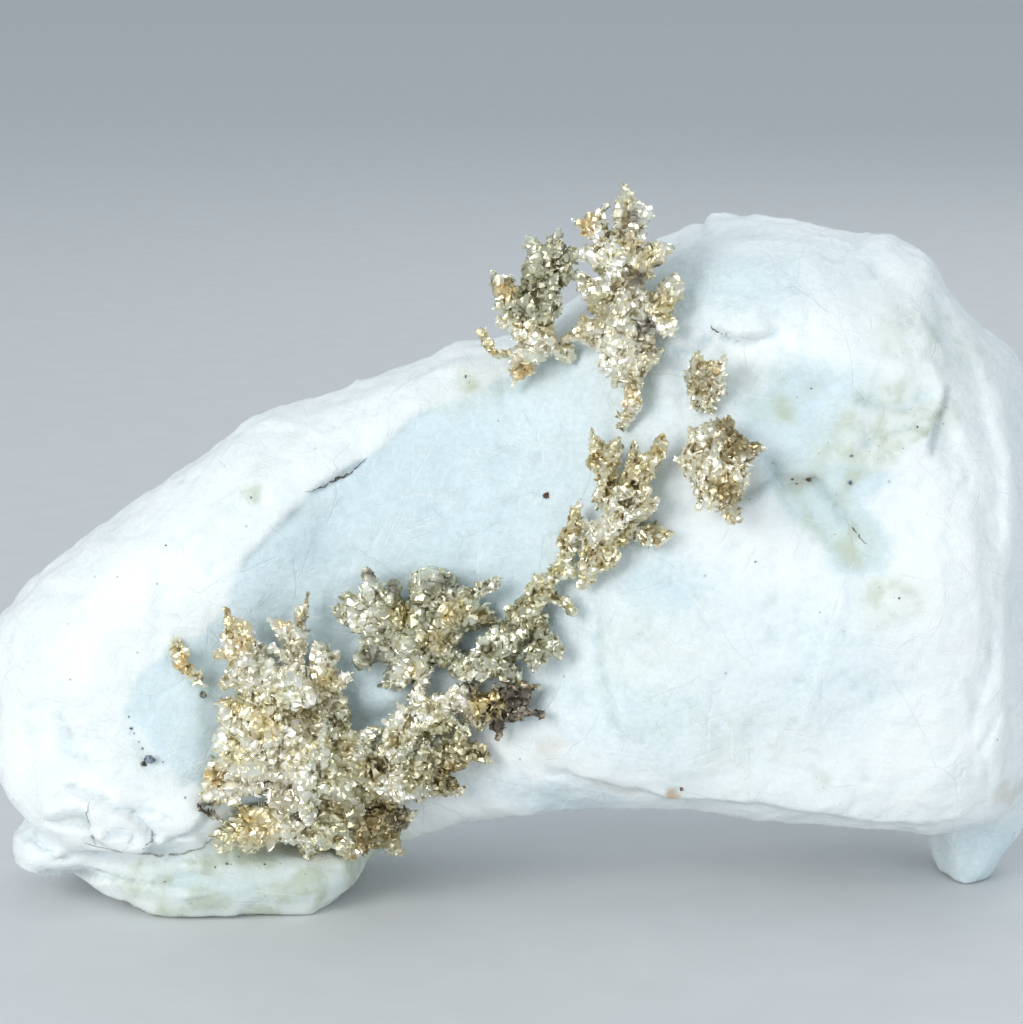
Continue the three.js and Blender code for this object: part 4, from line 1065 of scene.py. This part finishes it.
def silver_finish(name, rough, bright, warm, dull, deep):
    """A finish from bright tips through warm and dull tones to deep hollows, which are tarnish and painted
    shade in one.
    """
    made, tree, shader = new_material(name)
    tint, reach = mask_of(tree, "crystal_tint"), mask_of(tree, "crystal_reach")
    drift = use(tree, clouds, size=4.0, low=0.43, high=0.57)
    lift = use(tree, clouds, size=2.7, low=0.50, high=0.60)
    spots = use(tree, clouds, size=0.9, low=0.42, high=0.62)
    tone = blended(tree, ranged(tree, tint, 0.1, 0.7), warm, bright)
    tone = blended(tree, product(tree, drift, ranged(tree, tint, 1.0, 0.2, 0.5, 1.0)), tone, dull)
    tone = blended(tree, product(tree, lift, 0.45), tone, (0.98, 0.95, 0.80))
    for mask, turned in turns.items():
        share = product(tree, mask_of(tree, mask), ranged(tree, tint, 0.0, 1.0, 1.0, 0.75))
        tone = blended(tree, share, tone, turned)
    # painted shade: points that reach out little turn dull, and the lowest turn deep, less so where the metal
    # is pale; this stands for the shade between the crystals as well as tarnish
    lit = ranged(tree, mask_of(tree, "pale"), 0.0, 1.0, 1.0, 0.5)
    tone = blended(tree, product(tree, ranged(tree, reach, 0.60, 0.20, 0.0, 0.6), lit), tone, dull)
    buried = product(tree, ranged(tree, reach, 0.42, 0.06), lit)
    shade = product(tree, buried, ranged(tree, spots, 0.0, 1.0, 0.7, 1.0))
    tone = blended(tree, shade, tone, deep)
    fine = use(tree, grain, size=0.2)
    dullness = ranged(tree, fine, 0.4, 1.0, rough - 0.08, rough + 0.10)
    dullness = sum_of(tree, mask_of(tree, "dark"), 0.15, dullness)
    finished(tree, shader, tone, sum_of(tree, shade, 0.25, dullness), fine, 0.3, 0.025)
    feed(tree, shader, {"Metallic": 1.0})
    return made


# the dull and the deep tones are tarnish and painted shade in one, laid in the hollows
finishes = {  # how rough, then the bright, the warm, the dull and the deep tone
    "cream": (0.38, (0.99, 0.98, 0.89), (0.95, 0.91, 0.71), (0.70, 0.65, 0.42), (0.28, 0.23, 0.11)),
    "honey": (0.38, (0.99, 0.97, 0.87), (0.95, 0.89, 0.66), (0.70, 0.61, 0.37), (0.26, 0.19, 0.08)),
    "olive": (0.38, (0.97, 0.97, 0.86), (0.83, 0.81, 0.60), (0.48, 0.46, 0.31), (0.18, 0.16, 0.09)),
    "frosted": (0.38, (1.0, 0.99, 0.91), (0.98, 0.94, 0.79), (0.80, 0.74, 0.54), (0.36, 0.30, 0.17)),
    "blackened": (0.42, (0.70, 0.60, 0.42), (0.34, 0.26, 0.17), (0.15, 0.13, 0.10), (0.03, 0.022, 0.018)),
}
finishes = {name: silver_finish(name + "_silver", *values) for name, values in finishes.items()}
print("silver finishes:", len(finishes))

# %% [markdown]
# Now every branch is grown over its solid. Stout branches get big lumps and are swelled a little, and
# a core fills the forks of the widest. The heart of the large mass also gets two rounded knobs, where
# its solid leaves gaps. Thin sprigs get small lumps. The two tufts get three times as many crystals
# as a branch does, with more needles among them.

# %% Growing every branch
# Each row gives the finish and the size of the lumps, and where they aren't the usual ones, how far the
# branch is swelled, how large its core is, and the number and the length of its crystals.
branches = {
    "mass_heart": ("cream", 0.92, 0.35), "east_arm": ("cream", 0.86, 0.1, 0.35),
    "south_fringe": ("cream", 0.86), "west_lobe": ("honey", 0.86, 0.45),
    "northeast_arm": ("cream", 0.86, 0.1, 0.35), "spire_northwest": ("frosted", 0.72),
    "north_branch": ("frosted", 0.75, 0.25), "southwest_arm": ("cream", 0.82, 0.35),
    "flower_stalk": ("frosted", 0.6), "tall_spray_body": ("frosted", 0.85, 0.25),
    "tall_spray_crown": ("frosted", 0.8, 0.2), "tall_spray_tail": ("frosted", 0.75),
    "left_spray_crown": ("olive", 0.8, 0.35, 0.3), "left_spray_foot": ("honey", 0.75, 0.2),
    "fan_body": ("olive", 0.95, 0.5, 0.6), "fan_left": ("olive", 0.82, 0.35, 0.55),
    "fan_right_arm": ("olive", 0.75), "chain_lower": ("olive", 0.8, 0.2),
    "tarnished_knot": ("blackened", 0.9), "chain_upper": ("cream", 0.75),
    "bead_cluster": ("olive", 0.7), "middle_stem": ("honey", 0.85),
    "middle_right_fork": ("honey", 0.7), "middle_left_fork": ("honey", 0.7),
    "middle_needle": ("honey", 0.5), "shelf_sprig": ("honey", 0.6),
    "stray_nugget": ("honey", 0.7), "stray_wire": ("blackened", 0.45, -0.2, 0, 0.25, 0.5),
}
tuft = ("honey", 0.8, 0.1, 0.84, 3.2, 0.5, THIN_MIX)
knobs = {"mass_heart": [((-21.8, -12.4, 13.3), (2.4, 2.4, 1.5)), ((-21.6, -12.6, 23.4), (1.8, 1.8, 1.8))]}


def patched(solid, middle, reach):
    """The solid with a rounded knob set at a place, each reach along its own axis."""
    ends = (-1, 0, 1)
    ways = np.array([(x, y, z) for x in ends for y in ends for z in ends if x or y or z], float)
    ways /= np.linalg.norm(ways, axis=1)[:, None]
    corners = triangles_of(solid).reshape(-1, 3)
    whole = (corners, np.arange(len(corners)).reshape(-1, 3))
    return mesh_of("patched", *together([whole, hull((middle + ORIGIN + ways * reach).tolist())]))


def grow(branch, seed, finish, *shape):
    """One branch in its finish, standing for the solid of its name."""
    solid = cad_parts[branch].data.copy()
    for knob in knobs.get(branch, []):
        solid = patched(solid, *np.array(knob))
    mesh = with_tones(branch_mesh(solid, seed, *shape))
    slot = "tarnished_silver" if branch == "tarnished_knot" else "native_silver"
    return placed("silver_" + branch, mesh, finishes[finish], slot, branch)


grown = [grow(branch, 100 + i, *recipe) for i, (branch, recipe) in enumerate(branches.items())]
grown += [grow(branch, 200 + i, *tuft) for i, branch in enumerate(("round_tuft", "small_tuft"))]
sizes = [len(piece.data.polygons) for piece in grown]
print("branches:", len(grown), "faces in all:", sum(sizes), "most in one:", max(sizes))

# %% [markdown]
# ## Dark ore
#
# Two grains of a dark ore sit in the rock on the left, one bluish and one olive, and a trail of far
# smaller ones runs down from them. A few brown ones lie further right. Each grain is an angular pebble
# sunk in the skin. The hairline cracks are filled with a near-black that is painted shadow and grime in
# one, and the seams over the lip with a paler grey-green that is painted shadow and silt in one. Each of
# those is a thin wedge pressed into the skin along a line.

# %% The ore's finish and its pebbles
def ore_finish(name, one, other, metallic, rough):
    """A dark mineral, mottled, with a fine grain."""
    made, tree, shader = new_material(name)
    patches = use(tree, clouds, size=0.4, low=0.35, high=0.65)
    fine = use(tree, grain, size=0.15)
    mottled = blended(tree, patches, one, other)
    roughness = ranged(tree, fine, 0.35, 0.95, rough - 0.15, rough + 0.15)
    finished(tree, shader, mottled, roughness, fine, 0.6, 0.03)
    feed(tree, shader, {"Metallic": metallic})
    return made


ores = {  # the two colours, how metallic, how rough
    "dark_ore": ((0.05, 0.07, 0.11), (0.28, 0.33, 0.40), 0.3, 0.4),
    "olive_ore": ((0.05, 0.05, 0.04), (0.27, 0.27, 0.20), 0.3, 0.4),
    "brown_ore": ((0.09, 0.05, 0.03), (0.30, 0.17, 0.08), 0.2, 0.55),
    # painted shadow and grime: the near-black in the hairline cracks stands for the shade inside them
    "crack_shadow_and_grime": ((0.05, 0.045, 0.04), (0.16, 0.14, 0.11), 0.0, 0.8),
    # painted shadow and silt: the grey-green along the lip seams stands for thin shadow lines at the plate
    # edges
    "seam_shadow_and_silt": ((0.27, 0.28, 0.22), (0.50, 0.54, 0.49), 0.0, 0.8),
}
ores = {name: ore_finish(name, *values) for name, values in ores.items()}


def pebble(middle, half, random):
    """An angular grain of a chosen half size."""
    around = unit(random.normal(size=(22, 3))) * random.uniform(0.80, 1.05, (22, 1))
    return hull((around * half + middle).tolist())


for name, ore in {"dark_grain_large": "dark_ore", "dark_grain_round": "olive_ore"}.items():
    low, high = (np.array(corner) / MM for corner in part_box(name))
    grain_random = np.random.default_rng(len(name))
    mesh = mesh_of(name, *pebble((low + high) / 2, (high - low) / 2, grain_random))
    placed("ore_" + name, mesh, ores[ore], "dark_ore", name)
    print(name, "is", np.round(high - low, 1), "mm across")

# %% Small grains in the skin
small_grains = {  # the ore, then x, z and size in millimetres for each grain
    "small_grains": ("dark_ore", [
        (-37.4, 20.5, 0.22), (-37.2, 19.3, 0.35), (-36.9, 18.8, 0.2), (-36.4, 18.0, 0.25),
        (-36.1, 17.3, 0.35), (-34.0, 16.0, 0.25), (-31.8, 12.5, 0.3), (-29.1, 5.3, 0.3), (-28.0, 5.6, 0.35),
        (-26.9, 6.2, 0.3), (-24.3, 5.5, 0.3), (-34.1, 3.8, 0.3), (32.2, 46.4, 0.45), (23.3, 36.1, 0.3),
        (32.1, 43.8, 0.6), (36.8, 32.6, 0.3), (-25.4, 42.4, 0.3), (-4.5, 54.6, 0.4), (38.6, 49.2, 0.35),
        (-33.8, 37.6, 0.25),
    ]),
    "olive_grains": ("olive_ore", [(-35.9, 15.8, 0.75), (28.6, 53.0, 0.25)]),
    "brown_grains": ("brown_ore", [
        (3.5, 42.6, 0.85), (28.4, 44.1, 0.55), (26.8, 44.2, 0.35), (27.3, 43.7, 0.25), (16.5, 13.5, 0.6),
    ]),
}


def on_skin(x, z):
    """The place on the rock's face at a drawn place, and the way that the skin faces there."""
    onward = Vector((0, 1, -SLANT))
    start = Vector((x, FACE, z)) + Vector(ORIGIN) - 40 * onward  # well in front of the rock
    place, normal, _, _ = rock_tree.ray_cast(start, onward)
    return np.array(place), np.array(normal)


def sunk_grains(grains):
    """Angular grains of chosen sizes, sunk in the skin, as one mesh."""
    grain_random = np.random.default_rng(5)
    parts = []
    for x, z, size in grains:
        place, way = on_skin(x, z)
        half = size / 2 * grain_random.uniform(0.5, 1.2, 3)
        parts.append(pebble(place + 0.1 * size * way, half, grain_random))
    return mesh_of("grains", *together(parts))


for kind, (ore, grains) in small_grains.items():
    placed("ore_" + kind, sunk_grains(grains), ores[ore], "dark_ore")
print("small grains:", {kind: len(grains) for kind, (_, grains) in small_grains.items()})

# %% Hairline cracks
seams = {  # the filling, then places along each line and its widest opening
    # painted shadow and grime fill these cracks
    "hairline_cracks": ("crack_shadow_and_grime", [
        ([(-20.2, 42.9), (-19.0, 43.2), (-17.9, 43.8), (-16.9, 44.3), (-16.0, 44.6), (-15.0, 45.6),
          (-14.1, 46.5)], 0.09),
        ([(-17.7, 43.9), (-17.0, 44.35), (-16.2, 44.6), (-15.6, 45.0)], 0.25),
        ([(19.0, 59.1), (19.4, 58.75), (19.9, 58.5), (20.5, 58.35)], 0.18),
        ([(31.8, 40.3), (32.5, 39.4), (33.1, 38.7), (33.7, 37.8)], 0.14),
    ]),
    # painted shadow lines and silt along the plate edges over the lip
    "lip_seams": ("seam_shadow_and_silt", [
        ([(-28.6, 8.9), (-29.6, 7.9), (-31.0, 7.0), (-33.2, 6.5), (-35.2, 6.5), (-37.6, 6.9),
          (-41.6, 8.0)], 0.28),
        ([(-35.2, 9.2), (-35.0, 8.6), (-35.2, 8.0), (-36.0, 7.4)], 0.24),
        ([(-40.6, 7.6), (-40.9, 9.0), (-41.2, 10.6), (-41.0, 12.2)], 0.14),
    ]),
}


STEPS = 10  # between each two places of a line


def seam(line, wide):
    """A wedge pressed into the skin along a line, which thins out at both ends."""
    line = np.array(line)
    dense = np.linspace(0, len(line) - 1, STEPS * (len(line) - 1) + 1)
    xs, zs = (np.interp(dense, np.arange(len(line)), line[:, i]) for i in (0, 1))
    xs = xs + 0.08 * np.sin(5.0 * dense) + 0.05 * np.sin(13.0 * dense)  # a slight wobble
    zs = zs + 0.08 * np.cos(6.0 * dense)
    faces, corners = [], []
    for i, (x, z) in enumerate(zip(xs, zs)):
        place, way = on_skin(x, z)
        ahead = min(i + 1, len(xs) - 1)
        run = np.array([xs[ahead] - xs[ahead - 1], 0, zs[ahead] - zs[ahead - 1]])
        side = np.cross(way, run / np.linalg.norm(run))
        half = 0.5 * wide * math.sqrt(max(0.02, math.sin(math.pi * i / (len(xs) - 1))))
        half = half * (0.75 + 0.25 * math.sin(9.0 * dense[i]))
        top = place + 0.05 * way  # just proud of the skin
        corners += [top + half * side, top - half * side, place - 0.5 * way]
    for i in range(len(xs) - 1):
        for j in range(3):
            a, b = 3 * i + j, 3 * i + (j + 1) % 3
            faces += [(a, b, b + 3), (a, b + 3, a + 3)]
    last = 3 * (len(xs) - 1)
    faces += [(0, 2, 1), (last, last + 1, last + 2)]
    return np.array(corners), np.array(faces)


for kind, (filling, lines) in seams.items():
    mesh = mesh_of(kind, *together([seam(line, wide) for line, wide in lines]))
    placed("ore_" + kind, mesh, ores[filling], "dark_ore")
print("seams:", {kind: len(lines) for kind, (_, lines) in seams.items()})
